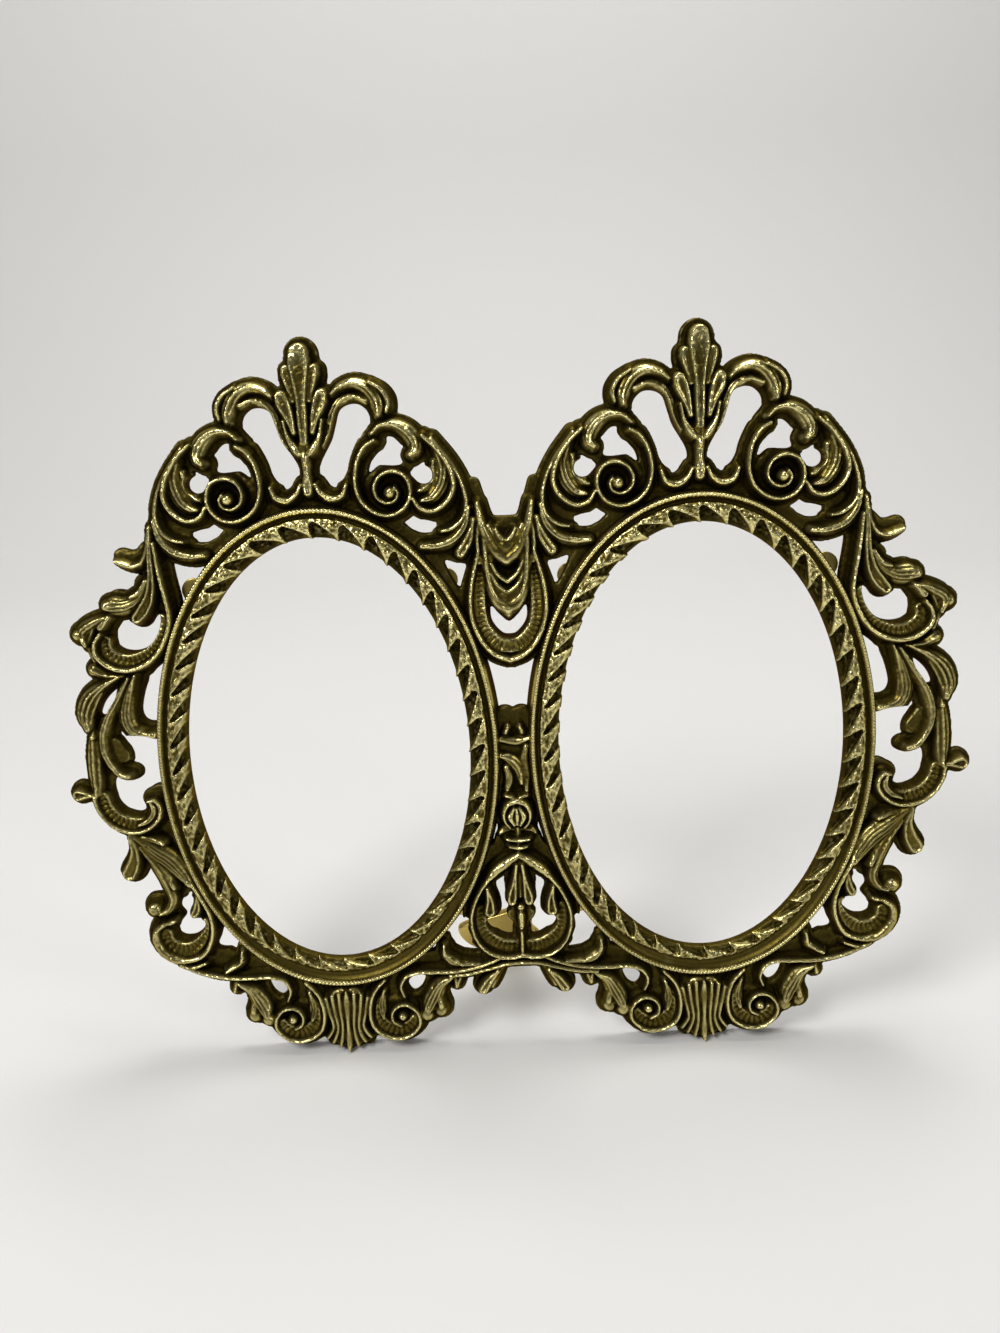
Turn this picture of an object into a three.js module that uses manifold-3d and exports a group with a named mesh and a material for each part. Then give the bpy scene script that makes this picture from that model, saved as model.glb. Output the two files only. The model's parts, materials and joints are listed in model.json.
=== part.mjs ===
// Double oval photo frame: cast brass scrollwork round two open ovals, with turn clips and an easel leg behind.
// It is drawn in the frame's own plane (x across, y up, z towards the viewer) and then leaned back on its leg.

import * as THREE from 'three';
import { mergeVertices } from 'three/addons/utils/BufferGeometryUtils.js';
import Module from 'manifold-3d';

const wasm = await Module();
wasm.setup();

// Stance, in degrees
const LEAN = 8;
const LEG_SWING = 24;

// Oval rings, in millimetres
const SIGHT_HALF_WIDTH = 24.0;
const SIGHT_HALF_HEIGHT = 36.8;
const RING_WIDTH = 4.9;
const WAIST_GAP = 5.3;
const REBATE_WIDTH = 1.5;
const REBATE_DEPTH = 1.3;
const ROPE_WIDTH = 2.6;
const ROPE_HEIGHT = 3.7;
const ROPE_CROWN_SHARE = 0.5;
const SIGHT_EDGE_SHARE = 0.7;
const COVE_HEIGHT = 2.4;
const BEAD_WIDTH = 1.0;
const BEAD_HEIGHT = 4.0;
const BEAD_CROWN_SHARE = 0.4;
const RING_STEPS = 44;

// Scrollwork: each stroke has a ridge on a wider drafted foot, and stands on the flat back
const RIDGE_HEIGHT = 3.8;
const LEAF_HEIGHT = 3.3;
const WEB_HEIGHT = 1.8;
const DRAFT = 1.0;
const TOP_SHARE = 0.7;
const END_SHARE = 0.6;
const STROKE_STEP = 4.4;
const KNOB_SIDES = 8;
const VOLUTE_STEPS = 8;
const TRIM = 0.6;
const SECTION_GAP = 0.3;
const CUT_PAST = 1.0;
const STAND_FLAT = 0.5;

// Fittings behind
const FITTING_GAP = 0.3;
const SCREW_SHANK_RADIUS = 0.7;
const SCREW_HEAD_RADIUS = 1.2;
const SCREW_HEAD_HEIGHT = 0.8;
const SCREW_CROWN_WIDTH_SHARE = 0.6;
const SCREW_CROWN_HEIGHT_SHARE = 0.9;
const SCREW_RIM_SHARE = 0.35;
const SCREW_REACH = 0.9;
const SCREW_SIDES = 8;
const CLIP_THICKNESS = 0.8;
const CLIP_HUB_RADIUS = 1.7;
const CLIP_END_RADIUS = 2.1;
const CLIP_REACH = 3.9;
const CLIP_ANGLE = 45;
const CLIP_ARC_STEPS = 3;
const BRACKET_THICKNESS = 1.2;
const BRACKET_TOP = 5.0;
const BRACKET_BOTTOM = -7.0;
const BRACKET_SCREW_HEIGHT = -4.7;
const EAR_THICKNESS = 1.2;
const EAR_RADIUS = 1.8;
const EAR_ARC_STEPS = 8;
const PIN_RADIUS = 0.8;
const PIN_HEIGHT = 1.0;
const PIN_DEPTH = 3.4;
const PIN_HEAD_RADIUS = 1.2;
const PIN_HEAD_LENGTH = 0.5;
const LEG_THICKNESS = 1.5;
const LEG_NECK_WIDTH = 3.6;
const LEG_BARREL_RADIUS = 1.6;
const LEG_NECK_SHARE = 0.6;
const FOOT_WIDTH = 17.6;
const FOOT_HEIGHT = 14.0;
const FOOT_OFFSET = -4.4;
const FOOT_FLAT = 0.5;
const FOOT_FLARE_SHARE = 0.6;
const FOOT_ARC_STEPS = 14;

// Sizes that follow from these
const lean = THREE.MathUtils.degToRad(LEAN);
const swing = THREE.MathUtils.degToRad(LEG_SWING);
const ringHalfWidth = SIGHT_HALF_WIDTH + RING_WIDTH;
const ringHalfHeight = SIGHT_HALF_HEIGHT + RING_WIDTH;
const ovalOffset = ringHalfWidth + WAIST_GAP / 2;
const boreRadius = SCREW_SHANK_RADIUS + FITTING_GAP;
const boreDepth = SCREW_REACH + FITTING_GAP;
const rebateMiddle = (REBATE_WIDTH + RING_WIDTH) / 2;
const aboveAll = RIDGE_HEIGHT * 3;
const beyondUp = ringHalfHeight * 2;
const beyondOut = ringHalfWidth * 2;

// The routes below are drawn round a ring of this half-width and half-height, and follow the ring if it changes
const DRAWN_RING = [28.9, 41.7];
const DRAWN_AXIS = 31.55;

// Finishes
const ANTIQUE_BRASS = { color: '#8c7636', roughness: 0.42, metalness: 1.0 };
const PLAIN_BRASS = { color: '#b79a4c', roughness: 0.35, metalness: 1.0 };
const SCREW_BRASS = { color: '#a58a45', roughness: 0.3, metalness: 1.0 };

// Solids
function solid(geometry) {
  const bare = geometry.index ? geometry.clone() : geometry;
  for (const name of Object.keys(bare.attributes)) {
    if (name !== 'position') bare.deleteAttribute(name);
  }
  const merged = mergeVertices(bare, 1e-4);
  return new wasm.Manifold(new wasm.Mesh({
    numProp: 3,
    vertProperties: new Float32Array(merged.attributes.position.array),
    triVerts: new Uint32Array(merged.index.array),
  }));
}

function geometryOf(manifold) {
  const mesh = manifold.getMesh();
  const geometry = new THREE.BufferGeometry();
  geometry.setAttribute('position', new THREE.BufferAttribute(mesh.vertProperties, 3));
  geometry.setIndex(new THREE.BufferAttribute(mesh.triVerts, 1));
  return geometry;
}

function loft(rows, closed) {
  const count = rows[0].length;
  const positions = rows.flat(2);
  const faces = [];
  const last = closed ? rows.length : rows.length - 1;
  for (let row = 0; row < last; row += 1) {
    const here = row * count;
    const next = ((row + 1) % rows.length) * count;
    for (let column = 0; column < count; column += 1) {
      const beside = (column + 1) % count;
      faces.push(here + column, next + column, next + beside);
      faces.push(here + column, next + beside, here + beside);
    }
  }
  if (!closed) {
    const end = (rows.length - 1) * count;
    for (let column = 1; column < count - 1; column += 1) {
      faces.push(0, column, column + 1);
      faces.push(end, end + column + 1, end + column);
    }
  }
  const geometry = new THREE.BufferGeometry();
  geometry.setAttribute('position', new THREE.Float32BufferAttribute(positions, 3));
  geometry.setIndex(faces);
  return geometry;
}

// A flat plate of an outline, with its arcs in a number of steps
function plate(shape, thickness, curveSegments) {
  return new THREE.ExtrudeGeometry(shape, { depth: thickness, bevelEnabled: false, curveSegments });
}

function prism(outline, low, high) {
  const shape = new THREE.Shape(outline.map(([x, y]) => new THREE.Vector2(x, y)));
  return plate(shape, high - low, 1).translate(0, 0, low);
}

// A rod along z from one height to another
function rod(x, y, radius, low, high) {
  const geometry = new THREE.CylinderGeometry(radius, radius, high - low, SCREW_SIDES);
  return geometry.rotateX(Math.PI / 2).translate(x, y, (low + high) / 2);
}

// A point beside the sight ellipse, at an angle round it and an offset outwards
function besideSight(angle, offset) {
  const across = Math.cos(angle);
  const up = Math.sin(angle);
  const outward = new THREE.Vector2(across / SIGHT_HALF_WIDTH, up / SIGHT_HALF_HEIGHT).normalize();
  return [SIGHT_HALF_WIDTH * across + offset * outward.x, SIGHT_HALF_HEIGHT * up + offset * outward.y];
}

// Oval rings
function ringProfile() {
  const bead = RING_WIDTH - BEAD_WIDTH;
  return [
    [0, REBATE_DEPTH],
    [REBATE_WIDTH, REBATE_DEPTH],
    [REBATE_WIDTH, 0],
    [RING_WIDTH, 0],
    [RING_WIDTH - BEAD_WIDTH * BEAD_CROWN_SHARE, BEAD_HEIGHT],
    [bead, COVE_HEIGHT],
    [ROPE_WIDTH, COVE_HEIGHT],
    [ROPE_WIDTH * ROPE_CROWN_SHARE, ROPE_HEIGHT],
    [0, ROPE_HEIGHT * SIGHT_EDGE_SHARE],
  ];
}

function ellipseRows(profile) {
  return Array.from({ length: RING_STEPS }, (_, step) => {
    const angle = (step / RING_STEPS) * 2 * Math.PI;
    return profile.map(([offset, height]) => [...besideSight(angle, offset), height]);
  });
}

// What the ring and its fitting gap take up, as a plain oval block
function ringBlock(side) {
  const outline = ellipseRows([[RING_WIDTH + SECTION_GAP, 0]]).map(([point]) => point);
  return prism(outline, -CUT_PAST, aboveAll).translate(side * ovalOffset, 0, 0);
}

const clipDegrees = [CLIP_ANGLE, 180 - CLIP_ANGLE, 180 + CLIP_ANGLE, 360 - CLIP_ANGLE];
const clipAngles = clipDegrees.map(THREE.MathUtils.degToRad);
const bracketScrewAngle = Math.asin(-BRACKET_SCREW_HEIGHT / ringHalfHeight);
const bracketScrewX = ovalOffset - besideSight(bracketScrewAngle, rebateMiddle)[0];

function ringSolid(side) {
  const bores = clipAngles.map((angle) => (
    rod(...besideSight(angle, rebateMiddle), boreRadius, -CUT_PAST, boreDepth)
  ));
  const inward = -side * (ovalOffset - bracketScrewX);
  bores.push(rod(inward, BRACKET_SCREW_HEIGHT, boreRadius, -CUT_PAST, boreDepth));
  const ring = solid(loft(ellipseRows(ringProfile()), true));
  return geometryOf(ring.subtract(wasm.Manifold.union(bores.map(solid)))).translate(side * ovalOffset, 0, 0);
}

// Scrollwork strokes: a route of [across, up, half-width] points, a height, and a foot wider by the draft
function stroke(route, height, place) {
  const points = route.map(([x, y, half]) => new THREE.Vector3(...place(x, y), half));
  const path = new THREE.CatmullRomCurve3(points, false, 'centripetal');
  const steps = Math.max(2, Math.round(path.getLength() / STROKE_STEP));
  return loft(Array.from({ length: steps + 1 }, (_, step) => {
    const at = path.getPointAt(step / steps);
    const along = path.getTangentAt(step / steps).setZ(0).normalize();
    const end = step === 0 ? -1 : Number(step === steps);
    const narrow = end === 0 ? 1 : END_SHARE;
    const top = at.z * TOP_SHARE;
    const foot = at.z + DRAFT;
    const section = [[-foot, foot, -TRIM], [-top, top, height], [top, top, height], [foot, foot, -TRIM]];
    return section.map(([aside, reach, up]) => [
      at.x - along.y * aside * narrow + along.x * reach * end * END_SHARE,
      at.y + along.x * aside * narrow + along.y * reach * end * END_SHARE,
      up,
    ]);
  }), false);
}

function knob([x, y, radius], height, place) {
  const profile = [[0, -TRIM], [radius + DRAFT, -TRIM], [radius * TOP_SHARE, height], [0, height]];
  const geometry = new THREE.LatheGeometry(profile.map(([r, h]) => new THREE.Vector2(r, h)), KNOB_SIDES);
  const [px, py] = place(x, y);
  return geometry.rotateX(Math.PI / 2).translate(px, py, 0);
}

// A volute's last turn: a spiral that tightens evenly round its eye
function volute([x, y], { turns, outer, inner, half }) {
  const count = Math.ceil(turns * VOLUTE_STEPS);
  return Array.from({ length: count + 1 }, (_, step) => {
    const angle = (step / count) * turns * 2 * Math.PI;
    const radius = outer + (inner - outer) * (step / count);
    return [x + radius * Math.cos(angle), y + radius * Math.sin(angle), half];
  });
}

// Places a drawn point that is measured from an oval's axis
function onOval(side, mirror) {
  return (x, y) => [
    side * ovalOffset + mirror * x * (ringHalfWidth / DRAWN_RING[0]),
    y * (ringHalfHeight / DRAWN_RING[1]),
  ];
}

// Places a drawn point that is measured from the frame's centre line, so that it keeps its share of the waist
function onCentre(mirror) {
  const wall = (axis, halfWidth, rise) => axis - halfWidth * Math.sqrt(Math.max(0, 1 - rise * rise));
  return (x, y) => {
    const rise = y / DRAWN_RING[1];
    const share = wall(ovalOffset, ringHalfWidth, rise) / wall(DRAWN_AXIS, DRAWN_RING[0], rise);
    return [mirror * x * share, rise * ringHalfHeight];
  };
}

const ridges = (routes, place) => routes.map((route) => stroke(route, RIDGE_HEIGHT, place));
const leaves = (routes, place) => routes.map((route) => stroke(route, LEAF_HEIGHT, place));
const webs = (routes, place) => routes.map((route) => stroke(route, WEB_HEIGHT, place));
const knobs = (list, place) => list.map((spot) => knob(spot, LEAF_HEIGHT, place));

// Crest, measured from the oval's axis: palmette, curled arms, volutes and shoulder scrolls
const CREST_EYE = [13.3, 43.6];
const CREST_EYE_DISC = 3.6;
const CREST_EYE_BOSS = 0.5;
const CREST_VOLUTE = { turns: 1.0, outer: 3.2, inner: 1.5, half: 0.4 };
const CREST_AXIS = [
  [[0, 50.2, 0.9], [0, 55, 0.9], [0, 60, 1.0], [0, 64, 1.6], [0, 67.5, 1.1]],
  [[0, 50.2, 0.9], [0, 47.4, 0.6], [0, 44.9, 1.0], [0, 43.6, 0.8]],
];
const CREST_RIDGES = [
  [[1.0, 57.5, 0.5], [1.8, 61.2, 0.8], [3.0, 64.2, 0.7]],
  [[1.6, 52.4, 0.6], [2.6, 56.4, 1.1], [4.2, 60.0, 0.8]],
  [[5.0, 57.4, 0.5], [6.4, 59.8, 0.8], [8.8, 60.7, 1.0], [11.2, 59.7, 1.5], [12.9, 57.5, 1.6], [13.0, 55.6, 1.1]],
  [[11.0, 51.9, 0.6], [9.3, 50.6, 0.6], [7.9, 47.2, 0.6], [7.9, 44.2, 0.5], [9.4, 41.3, 0.5], [12.6, 39.9, 0.5],
    [15.2, 40.8, 0.5], [16.5, 43.0, 0.5]],
  [[10.8, 52.9, 0.5], [12.6, 54.3, 0.7], [15.2, 54.1, 1.0], [17.4, 52.0, 1.2], [17.2, 49.6, 1.1]],
  [[18.8, 52.2, 0.5], [21.6, 49.6, 0.7], [23.3, 46.4, 0.8], [23.2, 43.0, 0.8], [21.0, 40.6, 0.7], [17.4, 41.6, 0.5]],
  [[20.0, 51.8, 0.4], [23.0, 48.4, 0.7], [25.2, 43.4, 0.7], [24.8, 39.2, 0.7], [22.4, 37.0, 0.6]],
  volute(CREST_EYE, CREST_VOLUTE),
];
const CREST_LEAVES = [
  [[5.6, 57.6, 0.6], [4.2, 54.4, 0.6], [2.4, 51.4, 0.6]],
  [[1.2, 45.6, 0.4], [2.2, 43.5, 0.5], [4.0, 42.6, 0.5], [5.7, 43.3, 0.5], [6.6, 45.2, 0.5]],
  [[21.6, 49.6, 0.6], [21.4, 46.0, 1.2], [19.2, 43.6, 0.7]],
  [[25.2, 39.6, 0.5], [23.4, 36.6, 1.0], [20.8, 35.0, 0.8]],
];
const CREST_WEBS = [
  [[0, 42.6, 0.8], [6.0, 41.8, 1.0], [10.2, 39.4, 1.0], [13.2, 37.6, 0.6]],
  [[20.4, 51.0, 0.7], [24.0, 45.6, 0.8], [24.0, 40.6, 0.9]],
  [[22.4, 35.6, 0.8], [17.6, 37.0, 0.6]],
];

function crest(side) {
  const strokes = CREST_AXIS.map((route) => stroke(route, RIDGE_HEIGHT, onOval(side, 1)));
  for (const mirror of [1, -1]) {
    const place = onOval(side, mirror);
    strokes.push(...ridges(CREST_RIDGES, place), ...leaves(CREST_LEAVES, place), ...webs(CREST_WEBS, place));
    strokes.push(knob([...CREST_EYE, CREST_EYE_DISC], WEB_HEIGHT, place));
    strokes.push(knob([...CREST_EYE, CREST_EYE_BOSS], LEAF_HEIGHT, place));
  }
  return strokes;
}

// Side scrolls, measured from the oval's axis outwards: leaf bundles and three ribbed C-scrolls
const SIDE_RIDGES = [
  [[26.6, 39.6, 0.6], [26.8, 33, 0.9], [28.0, 27.2, 0.9], [30.6, 24.2, 0.9]],
  [[25.6, 36.6, 0.6], [24.7, 28, 0.8], [25.4, 22.0, 0.9], [28.4, 18.0, 1.0], [32.6, 16.4, 1.0], [36.4, 17.6, 0.9],
    [37.6, 20.2, 0.8], [36.3, 23.2, 0.8]],
  [[26.9, 38.6, 0.5], [28.4, 34.9, 0.9], [30.8, 33.3, 0.9], [33.6, 34.6, 0.7]],
  [[27.6, 31.4, 0.6], [30.0, 27.6, 1.0], [33.0, 26.3, 1.2], [35.2, 26.8, 0.9]],
  [[32.0, 15.0, 0.6], [33.4, 10.6, 1.2], [33.0, 6.2, 1.3], [29.6, 4.7, 1.0]],
  [[33.2, 14.6, 0.6], [36.4, 9.0, 0.9], [38.0, 4.0, 0.9], [36.6, 0.4, 1.1], [33.8, -1.4, 0.9]],
  [[34.6, 15.0, 0.5], [38.2, 12.8, 0.9], [40.8, 9.4, 1.3], [39.6, 5.0, 0.8]],
  [[39.7, 5.0, 0.9], [40.1, 0, 1.1], [40.2, -5.4, 0.9], [38.4, -9.4, 0.9], [34.6, -11.4, 0.9], [30.8, -10.2, 0.8],
    [29.7, -7.4, 0.7]],
  [[35.4, -12.2, 0.8], [31.0, -15.8, 1.1], [27.4, -19.6, 1.2], [24.0, -25.0, 0.8], [22.8, -29.6, 0.8],
    [24.6, -34.2, 0.9], [28.8, -36.0, 0.9], [32.6, -33.4, 0.9], [32.2, -29.4, 0.8]],
  [[35.2, -12.8, 0.7], [34.8, -16.4, 0.9], [36.3, -19.8, 1.3]],
  [[33.6, -15.6, 0.7], [30.2, -21.6, 0.9], [30.4, -26.2, 0.9], [32.6, -26.8, 1.2]],
];
const SIDE_LEAVES = [
  [[35.2, 24.8, 0.6], [38.4, 23.6, 0.8], [40.4, 22.2, 0.7], [38.8, 19.6, 0.5]],
  [[36.0, 15.6, 0.5], [38.7, 16.4, 0.7]],
  [[40.6, -5.3, 0.6], [43.4, -5.3, 0.8]],
  [[25.0, -24.0, 0.5], [25.5, -27.6, 0.9]],
  [[24.6, -36.6, 0.6], [27.8, -37.2, 0.6]],
  [[30.6, -14.4, 0.6], [28.6, -14.2, 0.8]],
  [[22.0, -37.8, 0.6], [25.0, -37.4, 0.6], [28.4, -36.4, 0.5]],
];
const SIDE_WEBS = [
  [[29.0, 20.2, 0.8], [32.6, 18.9, 0.9], [36.0, 20.2, 0.8]],
  [[27.2, 30.4, 1.2], [25.6, 27.4, 0.8]],
  [[38.9, 6.0, 0.8], [39.0, -2.0, 0.8]],
  [[37.8, -7.8, 0.8], [34.6, -9.8, 0.9]],
  [[30.0, -5.2, 1.2], [30.4, -8.6, 0.8]],
  [[25.0, -21.4, 1.0], [28.4, -22.6, 1.0], [29.4, -18.8, 1.0]],
  [[25.6, -33.6, 0.7], [29.0, -34.4, 0.8]],
];
const SIDE_KNOBS = [[40.4, 22.3, 0.8], [43.6, -5.3, 1.1], [36.4, -20.0, 1.1], [32.8, -26.6, 0.9]];

function sideScroll(side) {
  const place = onOval(side, side);
  return [
    ...ridges(SIDE_RIDGES, place),
    ...leaves(SIDE_LEAVES, place),
    ...webs(SIDE_WEBS, place),
    ...knobs(SIDE_KNOBS, place),
  ];
}

// Pendant, measured from the oval's axis: fluted fan between two volutes, with hanging leaves
const PENDANT_AXIS = [[0, -43.6, 1.2], [0, -46.5, 3.0], [0, -50.6, 3.0], [0, -53.6, 1.2]];
const PENDANT_RIDGES = [
  [[6.8, -41.4, 0.5], [4.9, -44.2, 0.5], [4.3, -47.8, 0.5], [5.6, -51.0, 0.6], [9.2, -52.1, 0.6], [12.2, -50.4, 0.5],
    [12.5, -47.6, 0.5]],
  [[10.0, -44.2, 0.4], [10.0, -41.8, 0.5], [12.6, -39.9, 0.5], [16.6, -39.9, 0.5], [20.4, -39.6, 0.5]],
  [[20.2, -40.4, 0.5], [17.0, -43.4, 1.0], [15.2, -48.4, 1.2]],
];
const PENDANT_LEAVES = [
  [[17.2, -43.8, 0.8], [17.6, -48.2, 0.9]],
  [[18.0, -35.4, 0.5], [18.6, -37.4, 0.6], [20.8, -38.6, 0.6]],
  [[19.4, -40.6, 0.5], [19.7, -42.2, 0.5]],
];
const PENDANT_WEBS = [
  [[0, -43.2, 0.8], [6.4, -42.0, 1.0], [12.6, -39.0, 0.9], [18.6, -37.6, 0.9]],
  [[4.4, -44.6, 0.6], [3.6, -50.0, 0.5]],
  [[11.6, -45.4, 0.6], [13.8, -43.2, 0.8], [14.6, -41.4, 0.8]],
];
const PENDANT_EYE = [9.5, -48.2];
const PENDANT_EYE_DISC = 3.0;
const PENDANT_EYE_BOSS = 0.6;
const PENDANT_TIP = [0, -54.6];

function pendant(side) {
  const strokes = [stroke(PENDANT_AXIS, LEAF_HEIGHT, onOval(side, 1))];
  for (const mirror of [1, -1]) {
    const place = onOval(side, mirror);
    strokes.push(...ridges(PENDANT_RIDGES, place), ...leaves(PENDANT_LEAVES, place), ...webs(PENDANT_WEBS, place));
    strokes.push(knob([...PENDANT_EYE, PENDANT_EYE_DISC], WEB_HEIGHT, place));
    strokes.push(knob([...PENDANT_EYE, PENDANT_EYE_BOSS], LEAF_HEIGHT, place));
  }
  return strokes;
}

// Centre drapery, measured from the frame's centre line: nested folds over a ribbed swag
const DRAPERY_RIDGES = [
  [[3.7, 40.4, 0.5], [2.8, 35.8, 0.5], [0, 32.0, 0.5]],
  [[3.5, 35.2, 0.5], [3.0, 28.6, 0.6], [0, 23.4, 0.6]],
  [[4.4, 34.0, 0.5], [5.7, 28.6, 0.6], [5.7, 21.6, 0.6], [3.4, 17.2, 0.6], [0, 15.6, 0.6]],
];
const DRAPERY_LEAVES = [
  [[5.2, 38.6, 0.5], [6.2, 35.4, 0.9], [7.6, 33.0, 0.8]],
  [[2.2, 30.6, 0.5], [0, 28.0, 0.6]],
];
const DRAPERY_WEBS = [
  [[0, 37.2, 1.6], [0, 31.0, 2.2], [0, 26.0, 1.4]],
  [[4.2, 32.0, 0.8], [4.6, 24.0, 0.8], [3.4, 19.4, 0.8], [0, 18.2, 0.8]],
  [[6.8, 25.8, 0.6], [6.4, 20.4, 0.6], [4.8, 16.8, 0.4]],
  [[6.6, 34.6, 0.8], [9.6, 33.2, 0.5]],
];

function drapery() {
  return [1, -1].flatMap((mirror) => {
    const place = onCentre(mirror);
    return [...ridges(DRAPERY_RIDGES, place), ...leaves(DRAPERY_LEAVES, place), ...webs(DRAPERY_WEBS, place)];
  });
}

// Centre heart, measured from the centre line: foliage panel, ball, collar, and a heart with a hanging bud
const HEART_RIDGES = [
  [[0, -18.4, 0.6], [4.4, -22.0, 0.6], [7.6, -26.4, 0.6], [8.5, -31.2, 0.6], [6.2, -35.8, 0.6], [2.6, -37.2, 0.6],
    [0, -37.0, 0.6]],
  [[0, -38.6, 0.5], [4.0, -39.0, 0.5], [10.6, -40.4, 0.5]],
];
const HEART_LEAVES = [
  [[0.5, -20.4, 0.4], [0.9, -24.2, 0.6], [1.2, -27.2, 0.6]],
  [[6.0, -25.0, 0.5], [5.0, -28.8, 0.8]],
  [[4.6, -39.6, 0.6], [6.8, -43.6, 0.9]],
  [[1.4, 3.2, 0.6], [1.6, -1.6, 0.6], [0.6, -6.8, 0.6]],
];
const HEART_WEBS = [
  [[1.2, 4.8, 1.6], [1.2, -8.0, 1.6]],
  [[2.2, -12.6, 0.9], [3.6, -18.2, 1.2], [6.8, -23.6, 1.0], [8.8, -27.8, 0.7]],
  [[6.6, -27.0, 0.8], [6.2, -32.2, 0.7], [2.6, -35.0, 0.7], [0, -35.2, 0.7]],
  [[0, -26.6, 0.8], [0, -34.6, 0.7]],
  [[0, -37.8, 0.6], [9.0, -38.4, 0.7], [11.4, -38.0, 0.6]],
];
const HEART_AXIS = [[[0, -28.6, 0.5], [0, -32.6, 0.6], [0, -36.6, 0.4]], [[0, -13.6, 0.7], [0, -17.0, 1.0]]];
const HEART_BALL = [0, -11.3, 2.0];

function heart() {
  const strokes = HEART_AXIS.map((route) => stroke(route, LEAF_HEIGHT, onCentre(1)));
  strokes.push(knob(HEART_BALL, RIDGE_HEIGHT, onCentre(1)));
  for (const mirror of [1, -1]) {
    const place = onCentre(mirror);
    strokes.push(...ridges(HEART_RIDGES, place), ...leaves(HEART_LEAVES, place), ...webs(HEART_WEBS, place));
  }
  return strokes;
}

// Regions that part the casting's sections, with half the gap on each side of a shared edge
const half = SECTION_GAP / 2;
const SEAM_LOW = [20.6, 33.0];
const SEAM_HIGH = [28.4, 40.8];
const PENDANT_EDGE = 21.0;
const CREST_SPREAD_SHARE = 1.3;
const SIDE_CORNER_SHARE = 0.7;

function seam(place, outward) {
  const low = new THREE.Vector2(...place(...SEAM_LOW));
  const high = new THREE.Vector2(...place(...SEAM_HIGH));
  const along = high.clone().sub(low).normalize();
  const aside = new THREE.Vector2(-along.y, along.x).multiplyScalar(outward * half);
  return [low.add(aside), high.add(aside)].map((point) => point.toArray());
}

function crestRegion(side) {
  const right = seam(onOval(side, 1), 1);
  const left = seam(onOval(side, -1), -1);
  const reach = ringHalfWidth * CREST_SPREAD_SHARE;
  const axis = side * ovalOffset;
  return [[axis, 0], right[0], right[1], [axis + reach, beyondUp], [axis - reach, beyondUp], left[1], left[0]];
}

function sideRegion(side) {
  const place = onOval(side, side);
  const [low, high] = seam(place, -side);
  const edge = place(PENDANT_EDGE, 0)[0] + side * half;
  const far = side * (ovalOffset + beyondOut);
  const outline = [low, high, [far, high[1]], [far, -beyondUp], [edge, -beyondUp]];
  outline.push([edge, -ringHalfHeight * SIDE_CORNER_SHARE], [side * ovalOffset, 0]);
  return side > 0 ? outline : outline.reverse();
}

function pendantRegion(side) {
  const reach = PENDANT_EDGE * (ringHalfWidth / DRAWN_RING[0]) - half;
  const axis = side * ovalOffset;
  return [[axis - reach, -beyondUp], [axis + reach, -beyondUp], [axis + reach, 0], [axis - reach, 0]];
}

function draperyRegion() {
  const right = seam(onOval(1, -1), 1);
  const left = right.map(([x, y]) => [-x, y]);
  const peak = right[1][1] + right[1][0];
  return [[-ovalOffset, 0], [ovalOffset, 0], right[0], right[1], [0, peak], left[1], left[0]];
}

function heartRegion() {
  const reach = ovalOffset - PENDANT_EDGE * (ringHalfWidth / DRAWN_RING[0]) - half;
  return [[-reach, -beyondUp], [reach, -beyondUp], [reach, ringHalfHeight], [-reach, ringHalfHeight]];
}

// The table that the frame stands on, as a block in the frame's plane
const pendantTip = onOval(1, 1)(...PENDANT_TIP)[1];
const tableHeight = pendantTip * Math.cos(lean) + STAND_FLAT;

function tableBlock() {
  const size = beyondUp * 4;
  const block = new THREE.BoxGeometry(size, size, size).translate(0, -size / 2 + tableHeight, 0);
  return block.rotateX(lean);
}

const outsideCut = wasm.Manifold.union([solid(ringBlock(1)), solid(ringBlock(-1)), solid(tableBlock())]);

function castSection(strokes, region) {
  const whole = wasm.Manifold.union(strokes.map(solid));
  const kept = whole.intersect(solid(prism(region, 0, aboveAll)));
  return geometryOf(kept.subtract(outsideCut));
}

// Turn clips and screws, behind the rings
function clipGeometry() {
  const shape = new THREE.Shape();
  shape.absarc(CLIP_REACH - CLIP_END_RADIUS, 0, CLIP_END_RADIUS, -Math.PI / 2, Math.PI / 2, false);
  shape.absarc(0, 0, CLIP_HUB_RADIUS, Math.PI / 2, (3 * Math.PI) / 2, false);
  const hole = new THREE.Path();
  hole.absarc(0, 0, boreRadius, 0, 2 * Math.PI, true);
  shape.holes.push(hole);
  return plate(shape, CLIP_THICKNESS, CLIP_ARC_STEPS).translate(0, 0, -FITTING_GAP - CLIP_THICKNESS);
}

// A round-headed screw whose head lies behind a sheet of the given thickness
function screwGeometry(sheet) {
  const seat = -2 * FITTING_GAP - sheet;
  const profile = [
    [0, seat - SCREW_HEAD_HEIGHT],
    [SCREW_HEAD_RADIUS * SCREW_CROWN_WIDTH_SHARE, seat - SCREW_HEAD_HEIGHT * SCREW_CROWN_HEIGHT_SHARE],
    [SCREW_HEAD_RADIUS, seat - SCREW_HEAD_HEIGHT * SCREW_RIM_SHARE],
    [SCREW_HEAD_RADIUS, seat],
    [SCREW_SHANK_RADIUS, seat],
    [SCREW_SHANK_RADIUS, SCREW_REACH],
    [0, SCREW_REACH],
  ];
  const points = profile.map(([radius, height]) => new THREE.Vector2(radius, height));
  return new THREE.LatheGeometry(points, SCREW_SIDES).rotateX(Math.PI / 2);
}

// Easel: bracket with two ears, pin and leg
const bracketBack = -FITTING_GAP - BRACKET_THICKNESS;
const earInner = LEG_NECK_WIDTH / 2 + FITTING_GAP;
const earOuter = earInner + EAR_THICKNESS;
const pinDepth = -PIN_DEPTH;

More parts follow.
